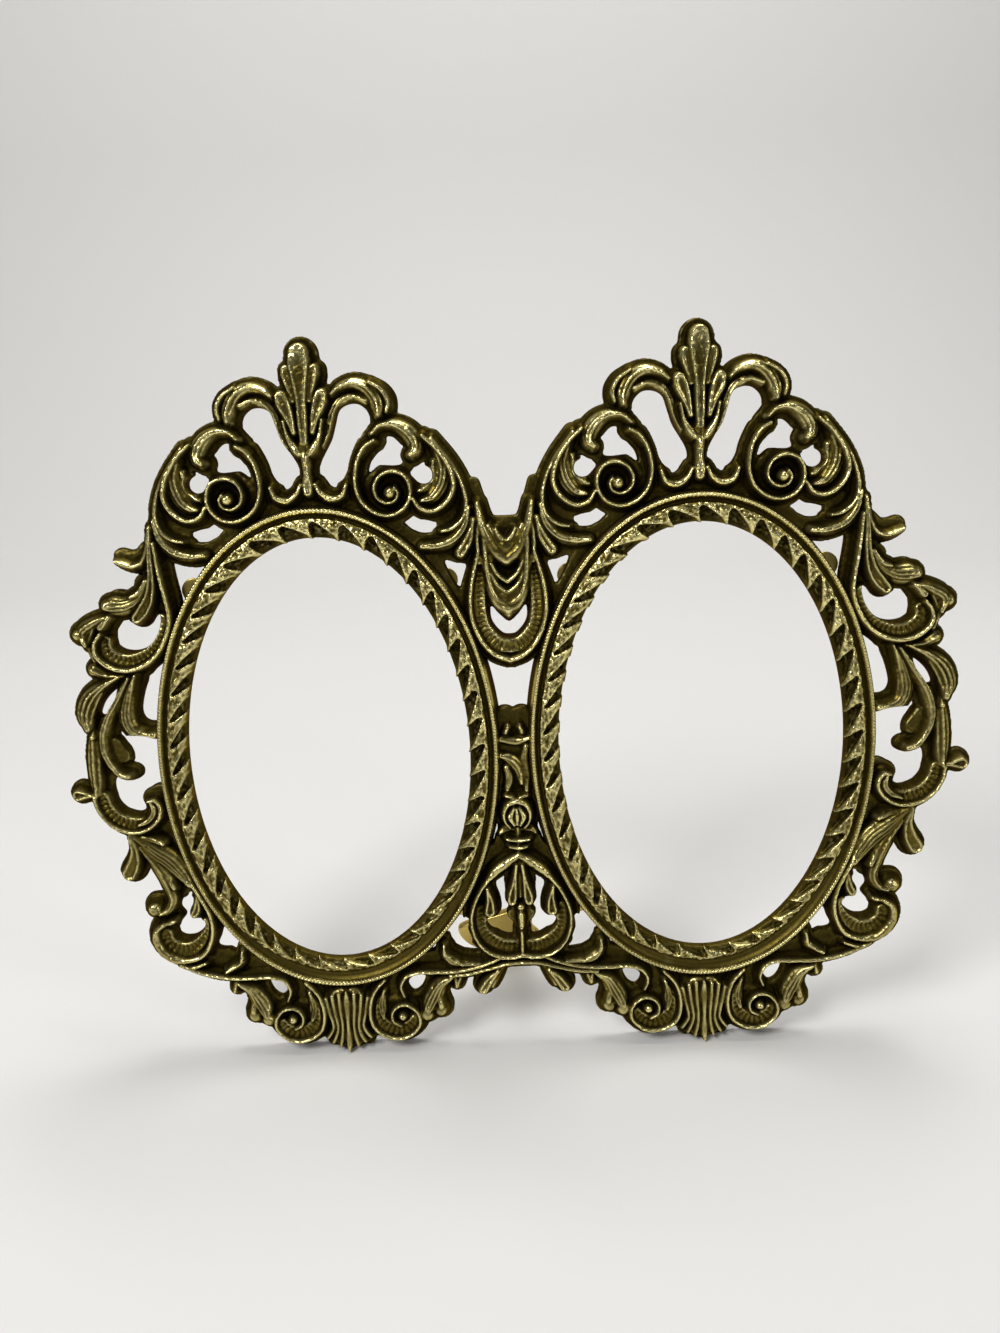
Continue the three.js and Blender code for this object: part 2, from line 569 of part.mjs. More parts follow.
function crossRod(radius, low, high) {
  const geometry = new THREE.CylinderGeometry(radius, radius, high - low, SCREW_SIDES);
  return geometry.rotateZ(-Math.PI / 2).translate((low + high) / 2, PIN_HEIGHT, pinDepth);
}

function ear(side) {
  const shape = new THREE.Shape();
  shape.moveTo(-EAR_RADIUS, bracketBack + BRACKET_THICKNESS / 2);
  shape.lineTo(-EAR_RADIUS, pinDepth);
  shape.absarc(0, pinDepth, EAR_RADIUS, Math.PI, 2 * Math.PI, false);
  shape.lineTo(EAR_RADIUS, bracketBack + BRACKET_THICKNESS / 2);
  const geometry = plate(shape, EAR_THICKNESS, EAR_ARC_STEPS);
  geometry.applyMatrix4(new THREE.Matrix4().makeBasis(
    new THREE.Vector3(0, 1, 0),
    new THREE.Vector3(0, 0, 1),
    new THREE.Vector3(1, 0, 0),
  ));
  return geometry.translate(side > 0 ? earInner : -earOuter, PIN_HEIGHT, 0);
}

function bracketGeometry() {
  const reach = bracketScrewX + SCREW_HEAD_RADIUS;
  const outline = [[-reach, BRACKET_BOTTOM], [reach, BRACKET_BOTTOM], [reach, BRACKET_TOP], [-reach, BRACKET_TOP]];
  const sheet = solid(prism(outline, bracketBack, -FITTING_GAP));
  const behind = bracketBack - CUT_PAST;
  const holes = [1, -1].map((side) => (
    rod(side * bracketScrewX, BRACKET_SCREW_HEIGHT, boreRadius, behind, CUT_PAST)
  ));
  holes.push(crossRod(PIN_RADIUS + FITTING_GAP, -earOuter - CUT_PAST, earOuter + CUT_PAST));
  const ears = [1, -1].map((side) => solid(ear(side)));
  return geometryOf(wasm.Manifold.union([sheet, ...ears]).subtract(wasm.Manifold.union(holes.map(solid))));
}

function pinGeometry() {
  const inner = earOuter + FITTING_GAP;
  const outer = inner + PIN_HEAD_LENGTH;
  const profile = [
    [0, -outer],
    [PIN_HEAD_RADIUS, -outer],
    [PIN_HEAD_RADIUS, -inner],
    [PIN_RADIUS, -inner],
    [PIN_RADIUS, inner],
    [PIN_HEAD_RADIUS, inner],
    [PIN_HEAD_RADIUS, outer],
    [0, outer],
  ];
  const points = profile.map(([radius, height]) => new THREE.Vector2(radius, height));
  return new THREE.LatheGeometry(points, SCREW_SIDES).rotateZ(-Math.PI / 2).translate(0, PIN_HEIGHT, pinDepth);
}

// The leg hangs from its pin: y runs down the leg and the table cuts its foot flat
const hingeHeight = PIN_HEIGHT * Math.cos(lean) + pinDepth * Math.sin(lean) - tableHeight;
const legSlope = swing - lean;
const legLength = (hingeHeight + FOOT_FLAT) / Math.cos(legSlope);
const heelReach = (PIN_DEPTH + bracketBack - FITTING_GAP - (LEG_THICKNESS / 2) * Math.cos(swing)) / Math.sin(swing);

function legGeometry() {
  const neck = LEG_NECK_WIDTH / 2;
  const footMiddle = -legLength + FOOT_HEIGHT / 2;
  const flare = footMiddle + FOOT_HEIGHT * FOOT_FLARE_SHARE;
  const shape = new THREE.Shape();
  shape.moveTo(neck, heelReach);
  shape.lineTo(-neck, heelReach);
  shape.lineTo(-neck, footMiddle * LEG_NECK_SHARE);
  shape.quadraticCurveTo(-neck, flare, FOOT_OFFSET - FOOT_WIDTH / 2, footMiddle);
  shape.absellipse(FOOT_OFFSET, footMiddle, FOOT_WIDTH / 2, FOOT_HEIGHT / 2, Math.PI, 2 * Math.PI, false, 0);
  shape.quadraticCurveTo(neck, flare, neck, footMiddle * LEG_NECK_SHARE);
  const sheet = plate(shape, LEG_THICKNESS, FOOT_ARC_STEPS).translate(0, 0, -LEG_THICKNESS / 2);
  const barrel = new THREE.CylinderGeometry(LEG_BARREL_RADIUS, LEG_BARREL_RADIUS, LEG_NECK_WIDTH, SCREW_SIDES);
  const boreSize = PIN_RADIUS + FITTING_GAP;
  const bore = new THREE.CylinderGeometry(boreSize, boreSize, 2 * LEG_NECK_WIDTH, SCREW_SIDES);
  const size = legLength * 2;
  const table = new THREE.BoxGeometry(size, size, size).translate(0, -size / 2 - hingeHeight, 0).rotateX(-legSlope);
  const body = solid(sheet).add(solid(barrel.rotateZ(Math.PI / 2)));
  return geometryOf(body.subtract(solid(bore.rotateZ(Math.PI / 2))).subtract(solid(table)));
}

// Scene
function piece(name, geometry, finish) {
  const shown = geometry.index ? geometry.toNonIndexed() : geometry;
  shown.computeVertexNormals();
  const mesh = new THREE.Mesh(shown, new THREE.MeshStandardMaterial(finish));
  mesh.name = name;
  return mesh;
}

const SIDES = [['left', -1], ['right', 1]];
const frame = new THREE.Group();

for (const [word, side] of SIDES) {
  frame.add(piece(`${word}_oval_ring`, ringSolid(side), ANTIQUE_BRASS));
  frame.add(piece(`${word}_crest`, castSection(crest(side), crestRegion(side)), ANTIQUE_BRASS));
  frame.add(piece(`${word}_side_scroll`, castSection(sideScroll(side), sideRegion(side)), ANTIQUE_BRASS));
  frame.add(piece(`${word}_pendant`, castSection(pendant(side), pendantRegion(side)), ANTIQUE_BRASS));
}
frame.add(piece('centre_drapery', castSection(drapery(), draperyRegion()), ANTIQUE_BRASS));
frame.add(piece('centre_heart', castSection(heart(), heartRegion()), ANTIQUE_BRASS));

for (const [word, side] of SIDES) {
  clipAngles.forEach((angle) => {
    const [x, y] = besideSight(angle, rebateMiddle);
    const height = y > 0 ? 'upper' : 'lower';
    const place = x * side > 0 ? 'outer' : 'inner';
    const outward = Math.atan2(Math.sin(angle) / SIGHT_HALF_HEIGHT, Math.cos(angle) / SIGHT_HALF_WIDTH);
    const clip = piece(`${word}_${height}_${place}_clip`, clipGeometry(), PLAIN_BRASS);
    clip.position.set(side * ovalOffset + x, y, 0);
    clip.rotation.z = outward;
    const screw = piece(`${word}_${height}_${place}_clip_screw`, screwGeometry(CLIP_THICKNESS), SCREW_BRASS);
    screw.position.copy(clip.position);
    frame.add(clip, screw);
  });
  const bracketScrew = piece(`${word}_bracket_screw`, screwGeometry(BRACKET_THICKNESS), SCREW_BRASS);
  bracketScrew.position.set(side * bracketScrewX, BRACKET_SCREW_HEIGHT, 0);
  frame.add(bracketScrew);
}

frame.add(piece('hinge_bracket', bracketGeometry(), PLAIN_BRASS));
frame.add(piece('hinge_pin', pinGeometry(), SCREW_BRASS));

const leg = piece('easel_leg', legGeometry(), PLAIN_BRASS);
leg.position.set(0, PIN_HEIGHT, pinDepth);
leg.rotation.x = swing;
frame.add(leg);

frame.rotation.x = Math.PI / 2 - lean;
const photoFrame = new THREE.Group();
photoFrame.add(frame);
photoFrame.updateMatrixWorld(true);
const box = new THREE.Box3().setFromObject(photoFrame, true);
const middle = box.getCenter(new THREE.Vector3());
frame.position.set(-middle.x, -middle.y, -box.min.z);

export default photoFrame;
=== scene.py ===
"""Double oval photo frame: an antique brass casting of pierced scrollwork round two rope-edged ovals.

The casting is one relief over the frame's own plane. Strokes raise ridges, fluted leaves,
rimmed petals and ribbed channels on a thin web, holes pierce it, and each section of the relief becomes
one closed mesh. The oval rings, the turn clips, their screws and the easel leg are profiles carried along
paths.
"""

import json
import logging
import math
from dataclasses import dataclass
from enum import Enum
from typing import Callable, Iterator, Sequence

import bpy
import numpy as np
from mathutils import Matrix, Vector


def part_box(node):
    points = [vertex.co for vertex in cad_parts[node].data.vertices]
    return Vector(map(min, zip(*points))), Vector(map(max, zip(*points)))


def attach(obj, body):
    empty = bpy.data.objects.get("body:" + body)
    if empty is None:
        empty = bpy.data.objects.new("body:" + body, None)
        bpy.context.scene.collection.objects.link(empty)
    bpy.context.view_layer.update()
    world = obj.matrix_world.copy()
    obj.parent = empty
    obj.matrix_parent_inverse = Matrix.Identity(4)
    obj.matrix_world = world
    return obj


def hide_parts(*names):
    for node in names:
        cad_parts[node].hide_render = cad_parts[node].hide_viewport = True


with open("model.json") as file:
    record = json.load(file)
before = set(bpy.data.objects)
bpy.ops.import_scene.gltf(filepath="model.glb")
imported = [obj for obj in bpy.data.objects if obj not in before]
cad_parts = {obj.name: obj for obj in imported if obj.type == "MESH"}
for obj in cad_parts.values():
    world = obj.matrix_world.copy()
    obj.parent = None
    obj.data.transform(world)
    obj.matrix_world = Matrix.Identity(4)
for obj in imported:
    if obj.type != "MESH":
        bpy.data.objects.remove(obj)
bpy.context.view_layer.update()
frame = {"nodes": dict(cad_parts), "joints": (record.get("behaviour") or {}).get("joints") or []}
LOG = logging.getLogger("photo_frame")

MM = 0.001

Triple = tuple[float, float, float]
Colour = tuple[float, float, float, float]
Point = tuple[float, ...]
Loop = tuple[tuple[float, float], ...]


@dataclass(frozen=True)
class Ramp:
    """A smooth rise over a stretch of values: nothing before its start, and its whole gain past its end."""

    start: float
    end: float
    gain: float = 1.0

    def __call__(self, value: np.ndarray) -> np.ndarray:
        """The rise at each value: 3t^2 - 2t^3 over the share t of the stretch, times the gain."""
        share = np.clip((value - self.start) / (self.end - self.start), 0.0, 1.0)
        return self.gain * (share * share * (3.0 - 2.0 * share))


# Rings and stance, in millimetres and degrees
SIGHT_HALF_WIDTH = 24.0
SIGHT_HALF_HEIGHT = 36.8
RING_WIDTH = 4.9
OVAL_OFFSET = 31.55
LEG_SWING = 24.0

# Levels of the relief above the flat back, in millimetres
WEB_LEVEL = 1.3
SHOULDER = 2.3
RIDGE_TOP = 3.9
LEAF_TOP = 3.6
PETAL_TOP = 3.7
PETAL_HOLLOW = 0.75
RIM_HEIGHT = 0.18

# Shape of the carved edges, in millimetres
MARGIN = 1.3
BORDER = 0.28
LEAST_HALF = 0.3
WEB_MARGIN = 0.7
WALL_HEIGHT = 4.3
WALL_ROUND = 1.15
FLANK = Ramp(0.0, 0.75)
FILLET = 0.16
SOFTEN = 0.07
RING_TUCK = 0.4
GRID_PITCH = 0.147
ROUTE_STEP = 0.25
FAR = 1.5

# Painted light, brighter towards the crest, and painted shade on the outer sides, by millimetres up the
# frame and, on the sides, out from its centre line
TOP_LIGHT_FEET = 0.64
TOP_LIGHT_BODY = Ramp(-45.0, 38.0, 0.36)
TOP_LIGHT_CREST = Ramp(38.0, 56.0, 0.46)
TOP_LIGHT_FINIAL = Ramp(56.0, 63.0, 0.6)
SHADED_OUTER_SIDE = Ramp(50.0, 66.0, 0.34)

# Wear and painted highlight, by millimetres that a point stands proud of the metal within a reach of it
ARRIS_REACH = 0.26
FORM_REACH = 0.8
BROAD_REACH = 1.8
WORN_LIT_ARRIS = Ramp(0.02, 0.16, 0.8)
WORN_LIT_FORM = Ramp(0.0, 0.7, 0.24)
WORN_LIT_BROAD = Ramp(0.4, 1.3, 0.4)
STEEP_SLOPE = Ramp(1.2, 2.8)
STEEP_KEPT_DULL = 0.6

# Dark patina and painted shade, by millimetres below the metal round a point, by height and by distance from
# the outline
GROOVE_PATINA_SHADE = Ramp(0.02, 0.14, 0.9)
HOLLOW_PATINA_SHADE = Ramp(0.1, 0.6)
STEEP_PATINA_SHADE = 0.55
WEB_PATINA_SHADE = 0.58
ABOVE_WEB = Ramp(1.4, 2.5)
EDGE_PATINA_SHADE = 0.7
INSIDE_EDGE = Ramp(0.3, 1.1, 0.3)
# The back is darkened evenly
BACK_DARKENING = 0.45

# Casting grain, in millimetres, coarser on broad forms and gone where the walls meet the back
GRAIN_HEIGHT = 0.035
GRAIN_SIZE = 0.2
GRAIN_SEED = 11
GRAIN_BROAD = Ramp(0.5, 1.3, 1.1)
GRAIN_ABOVE = Ramp(0.3, 1.2)


class Cut(Enum):
    """How the top of a stroke is carved."""

    WIRE = "a rounded ridge"
    LEAF = "a crowned leaf with flutes along it"
    PETAL = "a hollow lobe with a raised rim"
    RIBBED = "a hollow channel with ribs across it"
    PLAIN = "a flat low web"
    DOME = "a round boss"


@dataclass(frozen=True)
class Stroke:
    """One carved line: a route of (across, up, half-width) points and what stands on it.

    A point with no half-width keeps that of the point before it.
    """

    cut: Cut
    route: tuple[Point, ...]
    top: float
    flutes: int = 0
    margin: float = MARGIN
    hollow: float = 0.0


def wire(*route: Point, top: float = RIDGE_TOP, margin: float = MARGIN) -> Stroke:
    """A rounded ridge along a route."""
    return Stroke(Cut.WIRE, route, top, margin=margin)


def leaf(flutes: int, *route: Point, top: float = LEAF_TOP, margin: float = MARGIN) -> Stroke:
    """A crowned leaf along a route, with a number of flutes."""
    return Stroke(Cut.LEAF, route, top, flutes, margin)


def petal(*route: Point, top: float = PETAL_TOP, margin: float = MARGIN,
          hollow: float = PETAL_HOLLOW) -> Stroke:
    """A lobe with a raised rim along a route, hollowed to a depth inside it."""
    return Stroke(Cut.PETAL, route, top, margin=margin, hollow=hollow)


def ribbed(*route: Point, top: float = SHOULDER) -> Stroke:
    """A hollow channel with ribs across it, along a route."""
    return Stroke(Cut.RIBBED, route, top, margin=WEB_MARGIN)


def web(*route: Point, top: float = WEB_LEVEL) -> Stroke:
    """A low flat stretch of metal along a route."""
    return Stroke(Cut.PLAIN, route, top, margin=WEB_MARGIN)


def dome(across: float, up: float, radius: float, top: float = RIDGE_TOP) -> Stroke:
    """A round boss at a point."""
    return Stroke(Cut.DOME, ((across, up, radius),), top)


# Crest, measured from its oval's axis. The first list lies on the axis, the second on both sides of it.
CREST_AXIS = (
    petal((0, 52.0, 0.7), (0, 55, 0.9), (0, 58.5, 0.95), (0, 62, 1.4), (0, 64.2, 1.75), (0, 65.8, 1.55),
          top=4.0, margin=1.6, hollow=0.12),
    petal((0, 49.2, 0.8), (0, 47.2, 0.6), (0, 45.2, 0.95), (0, 44.2, 0.85), hollow=0.4),
    leaf(1, (0, 53.4, 0.6), (0, 51.4, 1.35), (0, 49.8, 1.15), (0, 48.8, 0.8), top=3.9),
)
CREST_PAIR = (
    petal((1.3, 58.6, 0.5), (1.8, 61.2, 0.8), (2.15, 62.8, 0.9), (2.25, 63.4, 0.75), top=3.5, hollow=0.2),
    petal((1.5, 53.6, 0.55), (2.1, 56, 0.9), (2.9, 58.2, 1.25), (3.2, 59.2, 1.1), top=3.9, hollow=0.4),
    leaf(1, (3.1, 55.4, 0.4), (2.5, 52.8, 0.75), (1.4, 50.9, 1.0), (0.9, 50.2, 0.85), top=4.0),
    wire((1.2, 45.4, 0.35), (1.9, 44.0, 0.5), (3.6, 42.9, 0.6), (5.4, 43.4, 0.55), (6.2, 45.1, 0.4),
         top=3.5),
    leaf(2, (4.8, 59.3, 0.6), (6.2, 60.4, 0.8), (8.4, 60.9, 0.95), (10.4, 60.1, 1.1), (11.6, 58.6, 1.15),
         (12.1, 57.0, 1.1), (12.1, 55.8, 0.8), top=3.8),
    wire((10.8, 61.0, 0.3), (12.8, 59.6, 0.45), (13.7, 57.8), (13.4, 56.2, 0.35), top=3.5, margin=1.0),
    leaf(2, (10.2, 58.2, 0.4), (8.2, 58.9, 0.6), (6.2, 58.3, 0.8), (4.9, 56.4, 0.9), (4.1, 53.8, 0.8),
         (3.1, 51.4, 0.5), top=2.9),
    wire((11.2, 51.9, 0.4), (9.6, 50.9), (8.4, 49.0, 0.45), (7.8, 46.6), (7.8, 44.6), (8.5, 42.4),
         (10.2, 40.7), (12.6, 39.9), (14.9, 40.6), (16.3, 42.4), (16.5, 44.3), (15.6, 46.2), (13.6, 46.9),
         (11.6, 46.1, 0.4), (10.7, 44.3), (11.2, 42.7), (12.6, 41.9), (14.0, 42.3, 0.35), (14.5, 43.5),
         (14.0, 44.4, 0.3)),
    dome(13.2, 43.5, 1.05, top=4.4),
    web((12.3, 43.4, 3.6), (12.7, 43.5), top=1.6),
    leaf(2, (11.2, 51.8, 0.5), (9.8, 51.0, 0.8), (8.7, 49.4, 0.6), top=3.4),
    leaf(3, (10.8, 52.9, 0.5), (12.2, 54.1, 0.7), (14.2, 54.3, 0.9), (16.2, 53.3, 1.2), (17.5, 51.6, 1.3),
         (17.6, 50.2, 1.2), (16.9, 49.4, 0.9), top=3.7),
    wire((18.8, 52.3, 0.4), (21.2, 50.0, 0.5), (23.1, 46.8, 0.55), (23.5, 44.0), (22.2, 41.6),
         (19.9, 40.3, 0.5), (17.9, 40.9), (16.9, 42.4, 0.4)),
    leaf(3, (20.6, 50.4, 0.5), (21.9, 47.4, 1.2), (21.5, 44.6, 1.3), (19.9, 42.5, 1.1), (18.2, 42.0, 0.6),
         top=3.3),
    leaf(2, (20.4, 48.2, 0.4), (20.0, 45.8, 0.8), (18.7, 44.0), (17.8, 43.6, 0.5), top=2.9),
    wire((20.2, 51.9, 0.3), (23.0, 48.2, 0.35), (24.7, 44.8, 0.4), (25.4, 41.5, 0.45), (24.8, 39.0),
         (22.9, 37.4), (21.2, 37.0, 0.35), top=3.2),
    leaf(3, (25.8, 40.6, 0.5), (25.0, 37.8, 1.0), (23.2, 35.7, 1.1), (20.4, 34.7, 1.0), (17.9, 34.7, 0.8)),
    web((0, 42.8, 1.0), (6.0, 41.6), (10.2, 39.4), (13.6, 37.6, 0.6)),
    web((19.8, 51.2, 0.8), (22.6, 47.6, 1.4), (23.2, 42.6), (22.2, 38.8, 1.2)),
    web((24.0, 38.2, 1.0), (21.6, 35.8), (17.4, 35.6, 0.6), (14.0, 37.6)),
    web((12.2, 56.0, 0.8), (12.0, 54.2), (10.2, 52.4, 0.7)),
    web((9.0, 51.4, 0.5), (7.0, 47.0), (6.8, 43.4, 0.6)),
)
CREST_HOLES: tuple[Loop, ...] = (
    ((5.6, 57.0), (7.0, 57.8), (8.6, 57.8), (9.9, 56.8), (10.4, 55.4), (9.4, 54.0), (7.8, 51.6),
     (6.7, 49.2), (6.1, 47.2), (5.2, 45.9), (4.0, 45.4), (2.9, 45.8), (2.1, 47.1), (1.9, 48.6), (2.7, 50.2),
     (4.0, 52.4), (4.8, 54.8)),
    ((11.2, 48.2), (12.2, 49.6), (12.5, 51.0), (13.4, 51.6), (14.3, 51.1), (14.8, 49.6), (15.2, 48.2),
     (14.2, 47.9), (12.6, 48.0)),
    ((16.4, 46.6), (17.2, 47.3), (18.9, 47.6), (19.9, 46.8), (19.9, 45.5), (19.0, 44.8), (17.9, 44.9),
     (17.1, 45.6)),
    ((15.3, 38.7), (17.0, 39.0), (19.5, 38.6), (20.3, 38.0), (19.6, 37.3), (18.0, 37.1), (16.2, 37.5)),
)

# Side scrolls, measured from their oval's axis outwards
SIDE_STROKES = (
    petal((26.5, 39.5, 0.5), (26.8, 35.0, 0.7), (27.0, 31.0, 0.85), (27.7, 28.0, 1.1), (28.9, 26.0, 1.25),
          (30.0, 24.8, 1.1), hollow=1.1),
    wire((26.0, 37.0, 0.4), (25.4, 31.0, 0.5), (24.9, 28.0), (24.6, 25.0), (25.0, 22.8, 0.55),
         (26.0, 20.5, 0.6), (27.5, 18.4), (29.5, 17.0), (32.0, 16.2), (34.5, 16.5), (36.6, 17.8),
         (37.6, 19.5, 0.55), (37.4, 21.0, 0.5), (36.4, 22.4)),
    ribbed((26.2, 24.4, 0.7), (26.8, 21.6, 0.8), (28.6, 19.1), (31.5, 17.8), (34.1, 18.1), (35.9, 19.6),
           (35.9, 21.2, 0.6), top=2.6),
    leaf(2, (26.9, 38.2, 0.4), (27.5, 35.4, 0.7), (28.6, 33.8, 0.75), (30.2, 33.4), (31.8, 34.0),
         (32.6, 34.4, 0.6), margin=0.85),
    web((27.9, 36.2, 0.6), (29.0, 35.0, 0.7), (30.6, 34.7), (32.2, 35.1), top=1.7),
    leaf(1, (28.0, 31.0, 0.5), (29.4, 29.0, 0.7), (30.7, 28.4, 0.6)),
    leaf(4, (27.7, 31.0, 0.4), (29.4, 28.2, 1.0), (31.9, 27.0, 1.5), (34.0, 27.0, 1.6), (34.9, 27.0, 1.2)),
    petal((34.6, 25.2, 0.5), (36.2, 23.6, 0.8)),
    leaf(3, (34.8, 25.4, 0.5), (37.6, 24.2, 1.1), (39.6, 22.7, 1.2), (39.0, 20.6, 0.7)),
    dome(40.3, 22.4, 1.0, top=3.4),
    leaf(2, (37.5, 23.6, 0.4), (38.4, 21.8, 0.75), (38.6, 19.8, 0.7), (37.9, 17.9, 0.4), top=3.1,
         margin=0.8),
    leaf(2, (33.6, 15.2, 0.4), (36.4, 15.4, 0.8), (38.4, 16.4, 1.1), top=3.4),
    leaf(3, (34.2, 15.0, 0.5), (37.2, 13.5, 1.0), (39.6, 11.3, 1.6), (40.7, 8.6, 1.5), (40.3, 6.4, 1.0)),
    leaf(4, (31.4, 15.3, 0.5), (33.0, 11.5, 1.2), (33.7, 8.2, 1.5), (33.0, 5.9, 1.4), (31.2, 4.9, 1.2),
         (29.2, 4.9, 0.9)),
    leaf(3, (32.6, 14.8, 0.6), (35.1, 11.0, 1.1), (36.9, 8.2), (38.1, 5.0), (38.0, 2.0, 1.0),
         (36.9, -0.5, 0.9), (35.6, -1.9), (34.2, -2.2, 0.8)),
    web((36.8, 3.2, 0.9), (36.2, 1.8, 1.2), (35.4, 1.2, 1.0), top=2.0),
    leaf(2, (39.6, 5.4, 0.9), (40.0, 2.0, 1.2), (40.2, -1.0), (40.2, -3.5, 1.1), (40.1, -5.2, 1.0)),
    dome(39.6, 5.0, 0.7, top=4.0),
    petal((40.9, -5.3, 0.5), (42.6, -5.2, 1.0), (43.4, -5.2, 1.2), hollow=1.2),
    wire((40.5, -5.6, 0.45), (39.9, -8.2), (38.1, -10.6), (35.6, -11.9, 0.5), (33.2, -12.0, 0.55),
         (31.0, -11.0, 0.5), (29.6, -9.3, 0.55), (29.4, -7.8, 0.5), (30.3, -6.5), (31.5, -6.6, 0.4)),
    ribbed((39.2, -5.8, 0.7), (38.7, -7.8, 0.8), (37.2, -9.7, 0.9), (35.4, -10.5), (33.6, -10.7, 0.8),
           (32.6, -10.3, 0.5), top=2.9),
    leaf(3, (31.0, -6.8, 0.6), (30.6, -8.4, 1.1), (31.6, -10.0, 1.0), (33.4, -10.8, 0.6), top=3.8),
    leaf(5, (35.6, -12.0, 0.5), (33.4, -14.0, 1.1), (30.9, -16.2, 1.8), (28.9, -17.8, 1.9),
         (26.9, -20.2, 1.5), (25.6, -22.0, 1.0)),
    leaf(3, (34.4, -12.8, 0.5), (31.9, -13.6, 0.9), (29.7, -14.4, 0.8), top=3.3),
    leaf(3, (34.9, -12.8, 0.4), (32.6, -16.2, 0.8), (30.3, -19.6, 1.0), (28.6, -22.6, 0.8), top=3.3),
    petal((35.3, -12.8, 0.6), (34.7, -15.5, 0.9), (35.2, -18.0, 1.3), (36.1, -19.6, 1.4)),
    leaf(2, (33.7, -15.0, 0.6), (31.2, -19.0, 1.0), (29.7, -22.5), (29.2, -25.0), (30.3, -26.8, 0.9),
         (31.4, -27.2, 0.8)),
    dome(32.4, -26.5, 1.3, top=3.6),
    wire((25.4, -21.8, 0.5), (24.0, -24.5), (22.9, -27.0), (22.4, -30.0, 0.55), (23.0, -32.7, 0.6),
         (24.5, -35.0), (27.2, -36.0, 0.7), (29.7, -35.7, 0.9), (31.6, -34.3, 1.0), (32.6, -32.2, 0.9),
         (32.3, -30.3, 0.7), (31.0, -29.2, 0.6)),
    ribbed((23.9, -29.4, 0.6), (24.6, -32.0, 0.8), (26.4, -33.9, 1.0), (28.8, -34.0), (30.6, -32.8),
           (30.9, -31.2, 0.8), top=2.8),
    leaf(1, (31.4, -29.4, 0.5), (29.6, -28.9, 0.8), (28.9, -28.6, 0.6), top=3.3),
    petal((24.7, -24.0, 0.5), (25.0, -26.4, 0.9), (25.6, -27.6), top=3.4),
    wire((24.4, -36.8, 0.4), (26.9, -37.6, 0.5), (28.9, -37.0, 0.4), top=3.4),
    web((29.0, 30.4, 1.0), (28.6, 27.6, 1.2)),
    web((38.8, 6.0, 0.9), (38.8, -2.0), (39.0, -5.4, 0.8)),
    web((29.2, -5.4, 1.0), (30.7, -6.8, 1.4), (30.8, -9.0, 1.2)),
    web((29.0, -12.4, 0.8), (29.8, -14.6, 1.6), (27.6, -18.0, 1.8), (27.6, -22.2, 1.6)),
    web((26.0, 30.0, 0.8), (25.4, 34.0, 0.6)),
    web((21.6, -37.8, 0.7), (25.0, -37.2), (28.4, -36.6, 0.6)),
    web((20.8, -36.4, 0.8), (22.4, -35.8, 0.9), (23.6, -34.8, 0.8)),
    web((37.4, 24.0, 1.2), (38.2, 21.6), (37.4, 16.6, 0.8)),
)
SIDE_HOLES: tuple[Loop, ...] = (
    ((26.6, 25.2), (27.0, 22.7), (28.4, 20.6), (30.1, 19.5), (32.2, 19.2), (33.9, 19.8), (34.7, 21.3),
     (34.2, 22.9), (33.2, 23.7), (32.0, 24.0), (30.9, 23.3), (29.7, 23.0), (28.5, 23.6), (27.5, 24.9)),
    ((26.8, 16.9), (28.4, 16.0), (30.1, 14.0), (31.3, 11.0), (31.7, 8.5), (31.0, 7.2), (28.8, 7.2),
     (28.2, 10.0), (27.6, 14.0)),
    ((35.2, 12.8), (36.5, 12.1), (38.2, 10.2), (38.8, 8.4), (38.0, 8.3), (36.6, 10.0), (35.4, 11.8)),
    ((28.7, 3.4), (34.5, 4.4), (34.9, 3.6), (34.3, 2.2), (34.0, 1.2), (34.0, 0.4), (33.4, -0.2),
     (32.6, -1.2), (32.8, -2.7), (34.9, -3.5), (37.4, -2.9), (37.9, -4.2), (37.5, -6.4), (36.4, -8.1),
     (34.9, -9.0), (33.6, -9.1), (32.8, -8.4), (33.3, -6.6), (32.8, -5.0), (31.2, -4.2), (28.7, -3.9)),
    ((26.4, -25.0), (28.0, -25.4), (28.6, -26.8), (27.8, -28.3), (28.9, -29.9), (29.2, -31.0),
     (28.6, -32.0), (27.0, -32.4), (25.5, -31.7), (24.4, -30.3), (24.3, -29.2), (26.0, -29.0),
     (26.9, -27.5), (26.2, -26.0)),
    ((18.8, -33.3), (20.2, -31.2), (21.2, -31.0), (22.0, -32.8), (22.6, -34.4), (21.0, -34.9),
     (19.4, -34.3)),
)

